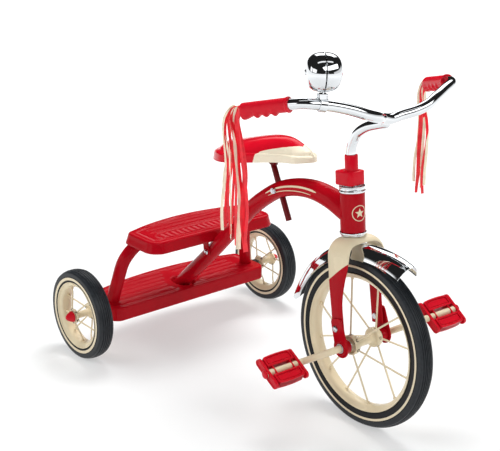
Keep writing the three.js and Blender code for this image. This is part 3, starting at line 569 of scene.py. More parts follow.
def tube_stripes(side):
    """Two fine painted lines along the side of the bent tube, the upper one shorter."""
    path = curve(MAIN_PATH, 200)
    u, v, _ = side_frames(path, Y)
    shapes = []
    for lift, width, first, last in ((14, 3.4, 108, 170), (-14, 1.5, 112, 164)):
        rows = []
        for i in range(first, last + 1):
            end = math.sqrt(max(0.0, 1 - ((i - (first + last) / 2) / ((last - first) / 2)) ** 2))
            half = width / 2 * min(1, 0.12 + 1.6 * end) / main_radius(i / 200)
            ring = []
            for raised, turn in ((0.28, -half), (0.28, half), (-0.3, half), (-0.3, -half)):
                a = math.radians(lift) + turn
                r = main_radius(i / 200) + raised
                ring.append(path[i] + side * u[i] * r * math.cos(a) + Z * r * math.sin(a))
            rows.append(ring)
        shapes.append(loft(rows))
    return joined(*shapes)


def head_tube():
    length, r = HEAD_LENGTH, HEAD_RADIUS
    profile = rounded([(15, 0.4), (r, 0.0), (r, length), (15, length - 0.4)], 1.2)
    return upright(profile, 96)


def upright(profile, segments=72, closed=True):
    """A solid of revolution about the steering axis from (radius, height above its foot) points."""
    verts, faces = turned(profile, segments, closed)
    verts = np.stack([verts[:, 0], verts[:, 2], verts[:, 1]], 1)
    return on_head_axis(verts), faces


def on_head_surface(azimuth, height, lift):
    r = HEAD_RADIUS + lift
    return (r * math.cos(azimuth), r * math.sin(azimuth), height)


def head_badge():
    """A plain raised disc rim with a five-pointed star, bent to the head tube."""
    middle, facing = 34.0, math.radians(-14)
    outline = 72

    def bent(points, lift):
        return [on_head_surface(facing + x / HEAD_RADIUS, middle + y, lift) for x, y in points]

    ring = np.linspace(0, 2 * math.pi, outline, endpoint=False)
    rows = []
    for radius, lift in ((13.6, -0.3), (13.6, 0.45), (12.3, 0.45), (12.3, -0.3)):
        rows.append(bent([(radius * math.cos(a), radius * math.sin(a)) for a in ring], lift))
    shapes = [loft(rows, closed=True)]
    star = []
    for k in range(10):
        radius = 8.6 if k % 2 == 0 else 3.6
        a = math.pi / 2 + k * math.pi / 5
        star.append((radius * math.cos(a), radius * math.sin(a)))
    dense = []
    for a, b in zip(star, star[1:] + star[:1]):
        dense += [(a[0] + (b[0] - a[0]) * s, a[1] + (b[1] - a[1]) * s) for s in (0, 0.25, 0.5, 0.75)]
    rows = [bent(dense, -0.3), bent(dense, 0.4)]
    rows += [bent([(x * s, y * s) for x, y in dense], 0.45) for s in (0.75, 0.4, 0.05)]
    shapes.append(loft(rows))
    verts, faces = joined(*shapes)
    return on_head_axis(verts), faces


def cup(profile):
    return upright(rounded(profile + [profile[0]], 0.9), 84)


def rear_arch():
    right = [(x, -y, z) for x, y, z in ARCH_LEG]
    path = curve(right + [(27, -40, 230.8), (27, 40, 230.8)] + ARCH_LEG[::-1], 220)
    return tube(path, ARCH_RADIUS, X, 44)


LOWER = dict(top=101.7, skirt=27.7, front=49, half=198, rear=-53, bulge=28, corner=20, flare=0.5)
UPPER = dict(top=246, skirt=22, front=116, half=153, rear=25, bulge=27, corner=25, flare=5)
EDGE = 5.0  # radius of the rolled edge of a pressed step
SHEET = 2.0


def bump(distance, width):
    return np.where(np.abs(distance) < width, 0.5 + 0.5 * np.cos(np.pi * distance / width), 0.0)


def stadium(x, y, cx, y0, y1, half):
    """Distance from the outline of a long slot along y, negative inside."""
    yy = np.clip(y, y0 + half, y1 - half)
    return np.hypot(x - cx, y - yy) - half


def panel(x, y, cx, y0, y1, half, height=1.5, soft=2.2):
    """A raised strip with a flat top and rounded shoulders."""
    return height * (1 - smoothstep(stadium(x, y, cx, y0, y1, half), -soft, 0.4))


def step_pan(step, relief, hole=None):
    """A pressed step: ribbed top, rolled edge, skirt that flares and a folded foot, open below."""
    inset = EDGE
    half = step["half"] - inset
    front = step["front"] - inset
    corner = step["corner"] - inset
    rear_corner = 9.0
    arc_half = step["half"] - 6
    arc_radius = (arc_half ** 2 + step["bulge"] ** 2) / (2 * step["bulge"])
    arc_centre = step["rear"] - step["bulge"] + inset + arc_radius
    turn = np.linspace(0, math.pi / 2, 12)
    flat = np.linspace(0, half - corner, int((half - corner) / 2.2) + 1)
    ys = np.concatenate([flat[:-1], half - corner + corner * np.sin(turn)])
    ys = np.concatenate([-ys[:0:-1], ys])

    def arc(y):
        return arc_centre - math.sqrt(arc_radius ** 2 - y * y)

    def rear_x(y):
        y = abs(y)
        if y <= half - rear_corner:
            return arc(y)
        over = min(1.0, (y - (half - rear_corner)) / rear_corner)
        return arc(half - rear_corner) + rear_corner * (1 - math.sqrt(max(0, 1 - over * over)))

    def front_x(y):
        over = max(0.0, abs(y) - (half - corner)) / corner
        return front - corner * (1 - math.sqrt(max(0, 1 - min(1, over) ** 2)))

    steps = int((front - step["rear"] + step["bulge"]) / 1.1)
    grid = np.zeros((steps + 1, len(ys), 2))
    for j, y in enumerate(ys):
        a, b = rear_x(y), front_x(y)
        grid[:, j, 0] = np.linspace(a, b, steps + 1)
        grid[:, j, 1] = y
    gx, gy = grid[..., 0], grid[..., 1]
    edge = np.minimum(np.minimum(gx - gx[0], gx[-1] - gx), half - np.abs(gy))
    height = relief(gx, gy, edge) * smoothstep(edge, 0.5, 4)
    if hole is not None:
        height = height + hole(gx, gy)
    n_i, n_j = gx.shape
    top = np.stack([gx, gy, step["top"] + height], 2)
    border = [(0, j) for j in range(n_j)] + [(i, n_j - 1) for i in range(1, n_i)]
    border += [(n_i - 1, j) for j in range(n_j - 2, -1, -1)] + [(i, 0) for i in range(n_i - 2, 0, -1)]
    rim = np.array([grid[i, j] for i, j in border])
    ahead = np.roll(rim, -1, 0) - np.roll(rim, 1, 0)
    outward = np.stack([-ahead[:, 1], ahead[:, 0]], 1)
    outward /= np.maximum(np.linalg.norm(outward, axis=1), 1e-9)[:, None]
    rings = []

    def ring(offset, z):
        flat = rim + outward * offset
        rings.append(np.column_stack([flat, np.full(len(rim), z)]))

    for k in range(1, 7):
        a = k / 6 * math.pi / 2
        ring(EDGE * math.sin(a), step["top"] - EDGE * (1 - math.cos(a)))
    foot = step["top"] - step["skirt"]
    for s in (0.4, 0.8, 1.0):
        z = step["top"] - EDGE + (foot + 1.2 - step["top"] + EDGE) * s
        ring(EDGE + step["flare"] * s, z)
    ring(EDGE + step["flare"] - 0.5, foot)
    ring(EDGE + step["flare"] - 1.8, foot)
    ring(EDGE + step["flare"] - SHEET - 0.3, foot + 1.2)
    ring(EDGE - SHEET, step["top"] - EDGE)
    ring(EDGE - 2 * SHEET, step["top"] - SHEET - 0.6)
    under = top.copy()
    under[..., 2] -= SHEET
    verts = np.vstack([top.reshape(-1, 3), *rings, under.reshape(-1, 3)])
    faces = []
    base_under = n_i * n_j + len(rings) * len(rim)
    for i in range(n_i - 1):
        for j in range(n_j - 1):
            a, b, c, d = i * n_j + j, i * n_j + j + 1, (i + 1) * n_j + j + 1, (i + 1) * n_j + j
            faces.append((a, d, c, b))
            faces.append((base_under + a, base_under + b, base_under + c, base_under + d))
    count = len(rim)
    loops = [[i * n_j + j for i, j in border]]
    loops += [[n_i * n_j + r * count + k for k in range(count)] for r in range(len(rings))]
    loops.append([base_under + i * n_j + j for i, j in border])
    for low, high in zip(loops, loops[1:]):
        for k in range(count):
            m = (k + 1) % count
            faces.append((low[k], low[m], high[m], high[k]))
    return verts, faces


def upper_relief(x, y, edge):
    """A raised border, long raised strips, and a row of short plain ribs along the front."""
    h = 1.1 * bump(edge - 11.5, 3.2)
    for cx, y1 in ((11, 104), (27, 112), (43, 116), (59, 118)):
        h = h + panel(x, y, cx, -y1, y1, 4.0, 1.5)
    for k in range(-8, 9):
        h = h + 1.2 * (1 - smoothstep(stadium(y, x, k * 13.0, 73, 96, 2.6), -1.8, 0.4))
    h = h + 0.9 * bump(stadium(x, y, 84.5, -121, 121, 16.5), 1.8)
    return h


def lower_relief(x, y, edge):
    """Long strips either side of the bent tube inside a raised border, and a doubled line along the front."""
    a = np.abs(y)
    h = 1.0 * bump(edge - 9.5, 3.0)
    for cx, y0, y1 in ((-62, 8, 96), (-46, 14, 132), (-30, 22, 150), (-14, 34, 152), (2, 38, 152)):
        h = h + panel(x, a, cx, y0, y1, 3.8, 1.4)
    h = h + 1.0 * bump(stadium(x, a, 26, 36, 178, 9.0), 1.9)
    return h + 0.8 * bump(stadium(x, a, 26, 40, 173, 4.4), 1.5)


def lower_opening(x, y):
    """The pressed-down edge of the opening that the bent tube passes through."""
    return -9.0 * (1 - smoothstep(np.hypot((x - 8) / 30.0, y / 22.0), 0.82, 1.0))


def domed_bolt(place, y0, y1, head=5.4, shank=3.0, dome=3.4, side=-1):
    """A dome-headed bolt across the tricycle: its head sits at y0, and a nut at y1."""
    out = [(0.01, y0 + side * dome), (head * 0.45, y0 + side * dome * 0.9),
           (head * 0.8, y0 + side * dome * 0.6), (head, y0 + side * 0.8), (head, y0), (shank, y0),
           (shank, y1 - side * 3), (0.01, y1 - side * 3)]
    head_part = turned(out, 40, closed=False, centre=place)
    hexagon = [(5.4 * math.cos(a), 5.4 * math.sin(a)) for a in np.linspace(0, 2 * math.pi, 7)[:-1]]
    nut = moved(prism(hexagon, min(y1, y1 - side * 3.6), max(y1, y1 - side * 3.6)), None, place)
    return joined(head_part, nut)


def build_frame():
    add("bent_main_tube", main_tube(), "red_paint", "frame", ["main_tube"])
    for name, side in (("right", -1), ("left", 1)):
        add(f"tube_lines_{name}", tube_stripes(side), "cream_paint", "frame")
    add("head_barrel", head_tube(), "red_paint", "frame", ["head_tube"])
    add("head_badge", head_badge(), "cream_paint", "frame")
    lower = [(12.6, -6.6), (21.0, -6.6), (21.0, -4.2), (22.9, -3.6), (23.1, -0.3), (12.6, -0.3)]
    add("lower_bearing_cup", cup(lower), "chrome", "frame", ["headset_lower_cup"])
    base = HEAD_LENGTH
    upper = [(12.6, base + 0.3), (23.0, base + 0.3), (23.0, base + 3.6), (21.2, base + 4.6),
             (21.0, base + 8.4), (22.4, base + 9.2), (22.4, base + 11.0), (12.6, base + 11.0)]
    add("upper_bearing_cup", cup(upper), "chrome", "frame", ["headset_upper_cup"])
    add("arch_tube", rear_arch(), "red_paint", "frame", ["rear_arch"])
    add("upper_pressed_step", step_pan(UPPER, upper_relief), "red_paint", "frame", ["upper_step"],
        sharp=50)
    add("lower_pressed_step", step_pan(LOWER, lower_relief, lower_opening), "red_paint", "frame",
        ["lower_step"], sharp=50)
    carry("step_bracket", "red_paint", 0.5)
    step_bolt = domed_bolt(STEP_BOLT, -TUBE_RADIUS - 3.8, TUBE_RADIUS + 3.8)
    add("bracket_bolt", step_bolt, "zinc", "frame", ["step_bracket_bolt"])
    screw = turned([(0.01, -20.2), (2.6, -20.2), (3.2, -19.4), (5.0, -19.6), (5.6, -18.6), (5.6, -15.8),
                    (3, -15.6), (3, -7), (0.01, -7)], 36, closed=False, centre=POST_BOLT)
    add("post_screw", screw, "zinc", "frame", ["seat_clamp_bolt"])
    carry("rear_axle", "zinc", 0.6)
    for name, side in (("right", -1), ("left", 1)):
        carry(f"axle_spacer_{name}", "dark_steel", 0.4)
        add(f"wheel_cap_{name}", wheel_cap(side), "red_plastic", "frame", [f"axle_cap_{name}"])


def wheel_cap(side):
    inner = REAR_WHEEL_Y + 22.5
    profile = [(0.01, inner + 14.6), (2.4, inner + 14.3), (4.6, inner + 12.8), (7.6, inner + 8.6),
               (10.2, inner + 2.8), (10.9, inner + 1.6), (10.9, inner + 0.3), (5.4, inner),
               (5.4, inner + 3.6), (0.01, inner + 3.6)]
    shape = turned(profile, 48, closed=False, centre=(0, 0, REAR_AXLE_Z))
    return for_side(shape, side)


build_frame()


# ---------- wheels ----------
FRONT = dict(radius=152.4, half=14.4, rim=122.3, bead=121.3, spokes=12, first=15.0)
REAR = dict(radius=REAR_AXLE_Z, half=15.8, rim=66.0, bead=65.0, spokes=10, first=16.0)


def tyre_profile(wheel, grooves, pitch, depth, stripe, shoulder):
    """(radius, y, look) along one half of a tyre, from the middle of its tread round to its bead."""
    r, half = wheel["radius"], wheel["half"]
    tread = half * 0.80

    def crown(y):
        return r - shoulder * (abs(y) / tread) ** 2.6

    out = []
    edges = [g * pitch for g in range(grooves)]
    marks = []
    for g in edges:
        marks += [(g - 0.95, 0), (g - 0.55, depth), (g + 0.55, depth), (g + 0.95, 0)]
    marks = [(m, d) for m, d in marks if m >= 0]
    marks += [(t, 0) for t in np.linspace(0, tread, 9) if all(abs(t - g) > 1.1 for g in edges)]
    for y, d in sorted(marks):
        if y <= tread:
            out.append((crown(y) - d, y, 1))
    top = crown(tread)
    for a in np.linspace(0.2, math.pi / 2, 6):
        out.append((top - (1 - math.cos(a)) * 4.2, tread + (half - tread) * math.sin(a), 1))
    low, high, raised = stripe
    side = [(high + 1.4, half, 0), (high, half + raised * 0.4, 0), (high - 0.3, half + raised, 2),
            (low + 0.3, half + raised, 2), (low, half + raised * 0.4, 2), (low - 0.6, half - 0.1, 0)]
    out += side
    bead = wheel["rim"]
    out += [((low + bead) / 2, half - 0.3, 0), (bead + 1.6, half - 1.2, 0), (bead + 0.2, half - 2.4, 0),
            (wheel["bead"], half - 3.6, 0)]
    return out


def tyre(profile, centre, segments):
    right = [(r, -y, look) for r, y, look in profile[::-1]]
    left = [p for p in profile if p[1] > 1e-6]
    ring = right + left
    shape = turned([(r, y) for r, y, _ in ring], segments, centre=centre)
    looks = []
    for k in range(len(ring)):
        a, b = ring[k][2], ring[(k + 1) % len(ring)][2]
        looks.append(a if a == b else (1 if 1 in (a, b) else 0))
    return shape, np.repeat(looks, segments)


def rim(wheel, centre, segments, well):
    """A rolled rim: two lips, a stepped well between them and a hollow outside under the tyre."""
    r, half = wheel["rim"], wheel["half"]
    side = [(r + 0.1, half - 1.4), (r + 0.4, half - 0.6), (r + 0.0, half + 0.1), (r - 0.9, half + 0.0),
            (r - 1.7, half - 0.9), (r - 2.4, half - 2.3), (r - 4.6, half - 3.6), (r - 6.4, half - 4.6),
            (r - well + 0.8, half - 6.6), (r - well, half - 8.4)]
    face = side + [(a, -b) for a, b in side[::-1]]
    back = [(r - 1.4, -(half - 2.0)), (r - 3.0, -(half - 4.6)), (r - well + 1.6, -(half - 8.2)),
            (r - well + 1.6, half - 8.2), (r - 3.0, half - 4.6), (r - 1.4, half - 2.0)]
    return turned(face + back, segments, centre=centre)


def spoke(angle, hub_radius, hub_y, rim_radius, rim_y, wire, bend):
    """One wire from a hole in the hub drum, with a small kink near the rim and a nipple at its end."""
    out = np.array([math.cos(angle), 0, math.sin(angle)])
    tangent = np.array([-math.sin(angle), 0, math.cos(angle)])
    start = out * hub_radius + Y * hub_y
    knee = out * (rim_radius - 11) + Y * (rim_y + (hub_y - rim_y) * 0.12) + tangent * bend
    end = out * rim_radius + Y * rim_y + tangent * bend * 1.3
    path = curve([start, start * 0.5 + knee * 0.5, knee, knee * 0.4 + end * 0.6, end], 16)
    wires = tube(path, wire, Y, 12)
    nipple = between(end - out * 5.0, end + out * 0.6, wire * 1.55, 12)
    return joined(wires, nipple)


def drum(radius, y, width, side):
    """A dished flange of a hub, with its edge rounded."""
    low, high = y - width / 2, y + width / 2
    outer = high if side > 0 else low
    inner = low if side > 0 else high
    dish = inner + (outer - inner) * 0.45
    profile = [(6, inner), (radius - 2.2, inner), (radius - 0.6, inner + (outer - inner) * 0.08),
               (radius, inner + (outer - inner) * 0.22), (radius, inner + (outer - inner) * 0.86),
               (radius - 0.8, outer), (radius - 2.4, outer), (radius - 3.4, outer - (outer - inner) * 0.1),
               (radius - 4.4, dish), (6, dish)]
    return turned(profile, 64)


def hub_and_spokes(wheel, hub, centre, rim_radius, bend):
    pieces = []
    barrel, half = hub["barrel"], hub["half"]
    neck = rounded([(5.9, -half), (barrel - 0.8, -half), (barrel, -half + 1), (barrel, half - 1),
                    (barrel - 0.8, half), (5.9, half), (5.9, -half)], 0.4, 2)
    pieces.append(turned(neck, 56))
    for side in (-1, 1):
        pieces.append(drum(hub["flange"], side * hub["flange_y"], hub["width"], side))
        root = side * (hub["flange_y"] - hub["width"] / 2)
        flare = [(barrel - 1, root - side * 5), (barrel, root - side * 5), (barrel + 1.2, root - side * 1.6),
                 (barrel + 3.4, root + side * 0.3), (barrel - 1, root + side * 0.3)]
        pieces.append(turned(flare, 56))
    for i in range(wheel["spokes"]):
        angle = math.radians(wheel["first"] + 360 / wheel["spokes"] * i)
        side = -1 if i % 2 else 1
        kink = bend if (i // 2) % 2 else -bend
        pieces.append(spoke(angle, hub["flange"] - 1.2, side * hub["flange_y"], rim_radius, side * 1.6,
                            hub["wire"], kink))
    return moved(joined(*pieces), None, centre)


def spoke_hole_shade(wheel, hub, centre):
    """Dark rings where the spokes enter the hub drums: painted shade for the holes the spokes pass through.
    """
    pieces = []
    for i in range(wheel["spokes"]):
        angle = math.radians(wheel["first"] + 360 / wheel["spokes"] * i)
        side = -1 if i % 2 else 1
        out = np.array([math.cos(angle), 0, math.sin(angle)])
        at = out * hub["flange"] + Y * side * hub["flange_y"]
        pieces.append(between(at - out * 1.2, at + out * 0.25, hub["wire"] * 1.75, 16))
    return moved(joined(*pieces), None, centre)


FRONT_HUB = dict(barrel=8.6, half=33.3, flange=17.4, flange_y=26, width=11, wire=1.6)
REAR_HUB = dict(barrel=6.9, half=21.5, flange=14.2, flange_y=18, width=4.4, wire=1.5)


def build_rear_wheels():
    profile = tyre_profile(REAR, 3, 4.4, 1.3, (70.3, 75.9, 0.5), 2.4)
    for name, side in (("right", -1), ("left", 1)):
        centre = np.array([0, side * REAR_WHEEL_Y, REAR_AXLE_Z])
        body = f"rear_wheel_{name}"
        shape, looks = tyre(profile, centre, 128)
        add(f"tyre_rear_{name}", shape, ["rubber", "tread", "cream_rubber"], body, [f"rear_tyre_{name}"],
            "tyre", face_material=looks)
        add(f"rim_rear_{name}", rim(REAR, centre, 128, 9.4), "cream_paint", body, [f"rear_rim_{name}"])
        hub = hub_and_spokes(REAR, REAR_HUB, centre, 57.4, 2.2)
        add(f"hub_rear_{name}", hub, "cream_paint", body, [f"rear_hub_{name}"])
        # Dark rings on the hub drums: painted shade for the spoke holes.
        add(f"spoke_holes_rear_{name}", spoke_hole_shade(REAR, REAR_HUB, centre), "dark_steel", body)


build_rear_wheels()


# ---------- seat ----------
SEAT = dict(rear=138, nose=375, rim=405.5, rise=0.14, half=84, nose_half=36)
SEAT_MIDDLE = (SEAT["rear"] + SEAT["nose"]) / 2
SEAT_REACH = (SEAT["nose"] - SEAT["rear"]) / 2


def split_where(shape, field):
    """Cuts a shape's faces where a field changes sign, and says on which side each face then lies."""
    mesh = bpy.data.meshes.new("cut")
    mesh.from_pydata([tuple(v) for v in shape[0]], [], [tuple(f) for f in shape[1]])
    values = field(np.asarray(shape[0], float))
    made = bmesh.new()
    made.from_mesh(mesh)
    bpy.data.meshes.remove(mesh)
    on_line = set()
    for edge in list(made.edges):
        start, end = edge.verts
        here, there = values[start.index], values[end.index]
        if here * there < 0:
            on_line.add(bmesh.utils.edge_split(edge, start, here / (here - there))[1])
    for face in list(made.faces):
        marks = [v for v in face.verts if v in on_line]
        if len(marks) == 2:
            bmesh.utils.face_split(face, marks[0], marks[1])
    made.verts.index_update()
    verts = np.array([v.co[:] for v in made.verts])
    faces = [tuple(v.index for v in f.verts) for f in made.faces]
    middles = np.array([verts[list(f)].mean(0) for f in faces])
    made.free()
    return (verts, faces), [1 if value > 0 else 0 for value in field(middles)]


def seat_half(x):
    """Half width of the saddle, from -1 at its rear to 1 at its rounded nose."""
    swell = 11 * np.exp(-((x - 0.82) / 0.13) ** 2)
    return SEAT["half"] + (SEAT["nose_half"] - SEAT["half"]) * smoothstep(x, -0.45, 0.62) + swell


SADDLE_TOP = ((138, 428), (160, 437), (195, 446.5), (238, 459), (270, 467), (300, 471), (318, 470.5),
              (338, 464), (352, 456.5), (363, 452.5), (375, 449))
SADDLE_SKIRT = ((138, 17), (200, 18.4), (260, 18), (320, 15), (350, 13), (363, 12), (375, 11))
CREASE = 0.90  # how far out the saddle's shoulder lies


def along_saddle(table, px):
    return np.interp(px, [a for a, _ in table], [b for _, b in table])


def eased(table, px):
    """The table read off with its corners rounded."""
    share = 0.2
    return sum(along_saddle(table, px + d) * share for d in (-14, -6, 0, 6, 14))


def saddle_base(px):
    return SEAT["rim"] + SEAT["rise"] * (px - SEAT["rear"])


def saddle_dome(r, a):
    """Height of the saddle's top above its rim at a share r of the way out in direction a."""
    x, y = r * np.cos(a), r * np.sin(a)
    px = SEAT_MIDDLE + SEAT_REACH * x
    edge = np.sqrt(np.maximum(CREASE ** 2 - x * x, 1e-6))
    q = np.minimum(1, np.abs(y) / edge)
    low = saddle_base(px) + eased(SADDLE_SKIRT, px)
    return low + np.maximum(0, eased(SADDLE_TOP, px) - low) * (1 - q ** 2.4) ** 0.85 - saddle_base(px)


def saddle():
    """The saddle's skin from its crown over a soft shoulder and down its skirt, then back up inside."""
    a = np.linspace(0, 2 * math.pi, 180, endpoint=False)
    rows = []

    def ring(r, lift):
        px = SEAT_MIDDLE + SEAT_REACH * r * np.cos(a)
        py = r * np.sin(a) * seat_half(r * np.cos(a))
        rows.append(np.stack([px, py, saddle_base(px) + lift], 1))

    shoulder = saddle_dome(CREASE, a)
    for r in np.linspace(0.002, CREASE - 0.02, 44):
        ring(r, saddle_dome(r, a))
    ring(CREASE - 0.008, shoulder + 0.25)
    ring(CREASE, shoulder - 0.35)
    for turn in np.linspace(0.2, 1.5, 8):
        ring(CREASE + 0.085 * math.sin(turn), shoulder - 0.5 - 5.5 * (1 - math.cos(turn)))
    for s in (0.3, 0.6, 0.82, 0.93):
        ring(CREASE + 0.085 + 0.012 * s, (shoulder - 6.0) * (1 - s))
    ring(0.999, (shoulder - 6.0) * 0.05)
    ring(1.0, 0.6)
    ring(0.996, 0.0)
    ring(0.982, 0.0)
    ring(0.972, 1.0)
    for s in (0.35, 0.7, 1.0):
        ring(0.97 - 0.04 * s, (shoulder - 8.0) * s)
    for r in np.linspace(0.88, 0.002, 14):
        ring(r, saddle_dome(r, a) - 3.0)
    return loft(rows)


# How far forward the cream begins, by the way out: 0 at the middle, 1 at the crease, 2 at the hem.
CREAM_EDGE = ((0, 345), (0.2, 342), (0.45, 338), (0.62, 333), (0.76, 324), (0.86, 310), (0.93, 292),
              (0.98, 281), (1.1, 277.5), (2, 275))


def ahead_of_cream_edge(points):
    """How far points of the saddle lie ahead of the swept line where red gives way to cream."""
    px = points[:, 0]
    x = (px - SEAT_MIDDLE) / SEAT_REACH
    side = np.abs(points[:, 1]) / seat_half(x)
    edge = np.sqrt(np.maximum(1e-4, CREASE ** 2 - x * x))
    depth = 1 - (points[:, 2] - saddle_base(px)) / eased(SADDLE_SKIRT, px)
    outward = np.where(np.hypot(x, side) < CREASE - 0.004, np.minimum(side / edge, 1),
                       1 + np.clip(depth, 0, 1))
    return px - along_saddle(CREAM_EDGE, outward)


def build_seat():
    shape, looks = split_where(saddle(), ahead_of_cream_edge)
    add("saddle_shell", shape, ["red_gloss", "cream_plastic"], "seat", ["saddle"], "red_plastic",
        face_material=looks, sharp=60)
    # The seat bracket here and the seat post below take the darker red copy: painted shade under the saddle.
    carry("seat_bracket", "red_dark", 0.6)
    top, foot = np.array([270.5, 0, 414.8]), np.array([318.1, 0, 317.5])
    along = unit(foot - top)
    radii = [(0.0, 4.7), (0.012, 5.5), (0.988, 5.5), (1.0, 4.7)]
    span = foot - top + along * 12
    path = np.array([top - along * 12 + span * s for s, _ in radii])
    post = sweep(path, lambda i, t: circle(radii[i][1], 40), Y)
    add("saddle_post", post, "red_dark", "seat", ["seat_post"], "red_paint")


build_seat()


# ---------- steering ----------
def steering_piece(name, shape, look, nodes, slot=None, **options):
    return add(name, shape, look, "steering", nodes, slot, steered=True, **options)


BLADE_Y = 46.0
FORK_LEG = [
    (501, BLADE_Y, 171), (495.5, BLADE_Y, 198), (489.5, BLADE_Y, 234), (488, BLADE_Y, 262),
    (488, BLADE_Y, 286), (486.6, BLADE_Y, 302), (485.2, 44.6, 314), (483.4, 39, 323.5), (482, 29.5, 329.8),
    (481, 15, 332.2),
]
FORK_BOLT = np.array([497.4, 0, 183.0])
PAINT_LINE = ((470.0, 262.0), (513.0, 305.0))


def fork_shape():
    right = [(x, -y, z) for x, y, z in FORK_LEG]
    path = curve(right + FORK_LEG[::-1], 260)
    square = np.array([math.cos(HEAD_TILT), 0, math.sin(HEAD_TILT)])
    u, v, _ = side_frames(path, square)
    rows = []
    a = np.linspace(0, 2 * math.pi, 56, endpoint=False)
    for i, p in enumerate(path):
        z = p[2]
        across = 13.5 + 9.0 * smoothstep(z, 215, 305) - 1.8 * smoothstep(z, 312, 330)
        deep = 3.1
        bow = 6.0 * smoothstep(z, 270, 318)
        ring = superellipse(across, deep, 2.5, 56)
        lead = np.maximum(0, np.cos(a))
        rows.append(p + ring[:, :1] * u[i] + (ring[:, 1] - bow * lead ** 2)[:, None] * v[i])
    return loft(rows)


def below_paint_line(points):
    """How far points lie below the slanted edge between the fork's two paints."""
    (x0, z0), (x1, z1) = PAINT_LINE
    return (points[:, 0] - x0) * (z1 - z0) - (points[:, 2] - z0) * (x1 - x0)


def fork_steerer():
    return upright([(0.01, -11), (11.5, -11), (12, -10), (12, HEAD_LENGTH + 24), (0.01, HEAD_LENGTH + 24)],
                   56, closed=False)


def fork_end(side):
    """A pressed plate from the blade down to an eye round the crank, with a raised bead round the eye."""
    inner = BLADE_Y + 3.4
    thick = 2.8
    outline = [(485.5, 192), (HUB[0] - 16.2, HUB[2] + 5)]
    outline += [(HUB[0] + 17 * math.cos(a), HUB[2] + 17 * math.sin(a)) for a in
                np.linspace(math.pi * 0.92, math.pi * 2.12, 28)]
    outline += [(511.5, 198), (508.5, 202.5), (505.5, 203.2), (489.5, 199.6), (486.2, 196.5)]
    plate = prism(outline, inner, inner + thick)
    bead = turned([(9, inner + thick - 0.4), (9, inner + thick + 1.3), (10.4, inner + thick + 1.8),
                   (12.2, inner + thick + 1.3), (13.0, inner + thick - 0.4)], 48, centre=(HUB[0], 0, HUB[2]))
    sleeve = turned([(8.8, inner - 12.5), (11.8, inner - 12.5), (12, inner - 12), (12, inner + 0.5),
                     (8.8, inner + 0.5)], 48, centre=(HUB[0], 0, HUB[2]))
    shape = joined(plate, bead, sleeve)
    return for_side(shape, side)


def fork_bolt(side):
    outer = BLADE_Y + 6.5
    shape = domed_bolt(FORK_BOLT, outer, BLADE_Y - 3.4, 5.6, 3.0, 3.4, 1)
    return for_side(shape, side)


GUARD = dict(ahead=21, below=22.5, crown=198.3, edge=175, half=22.5, thick=1.4)


def fender():
    """A crowned arc with rolled side hems; its tail drops lower at its middle and flares."""
    rows = []
    across = np.sin(np.linspace(-math.pi / 2, math.pi / 2, 45))
    for u in np.linspace(0, 1, 170):
        tail = 157 + 12 * (1 - across ** 2)
        degrees = 68 + (tail - 68) * u
        drop = np.abs(across) ** 2.8
        flare = 3 * smoothstep(degrees, 150, 170) + 4 * (1 - smoothstep(degrees, 66, 92))
        ring = []
        for w in (1, 0):
            radius = GUARD["crown"] + flare - (GUARD["crown"] - GUARD["edge"]) * drop + GUARD["thick"] * w
            hem = 0.5 * smoothstep(np.abs(across), 0.985, 1.0)
            y = (GUARD["half"] + GUARD["thick"] * w * drop + hem * (2 * w - 1)) * across
            angle = np.radians(degrees)
            x = HUB[0] + GUARD["ahead"] + radius * np.cos(angle)
            z = HUB[2] - GUARD["below"] + radius * np.sin(angle)
            line = np.stack([x, y, z], 1)
            ring.append(line if w else line[::-1])
        rows.append(np.vstack(ring))
    return loft(rows)


BAR_HALF = [
    (553, 42, 557), (555, 66, 564), (550, 92, 573), (541, 120, 580.5), (530, 147, 585), (516, 164, 585.5),
    (500, 174, 582.3), (462, 190.7, 572.7), (431, 204.8, 564.8),
]
BAR_RADIUS = 8.7
GRIP_START = np.array([500.5, 173.7, 582.3])
GRIP_END = np.array([427.0, 206.6, 563.8])
GRIP_RADIUS = 11.2


def stem_radius(t):
    """The stem's radius, rounded off at its end under the bar."""
    return (BAR_RADIUS - 0.1) * math.sqrt(1 - 0.97 * max(0.0, (t - 0.95) / 0.05) ** 2)


def handlebar():
    right = [(x, -y, z) for x, y, z in BAR_HALF[::-1]]
    path = curve(right + [(543.5, -21, 551), (541, 0, 547.3), (543.5, 21, 551)] + BAR_HALF, 360)
    bar = tube(path, BAR_RADIUS, Z, 48)
    rise = [(464, 0, 500), (474, 0, 512.5), (492, 0, 524.3), (514, 0, 532.6), (539, 0, 540.5)]
    base = HEAD_LENGTH
    points = [head_point(base + 24.6), head_point(base + 45), head_point(base + 70)] + rise
    stem = tube(curve(points, 120), stem_radius, Y, 48)
    return joined(bar, stem)


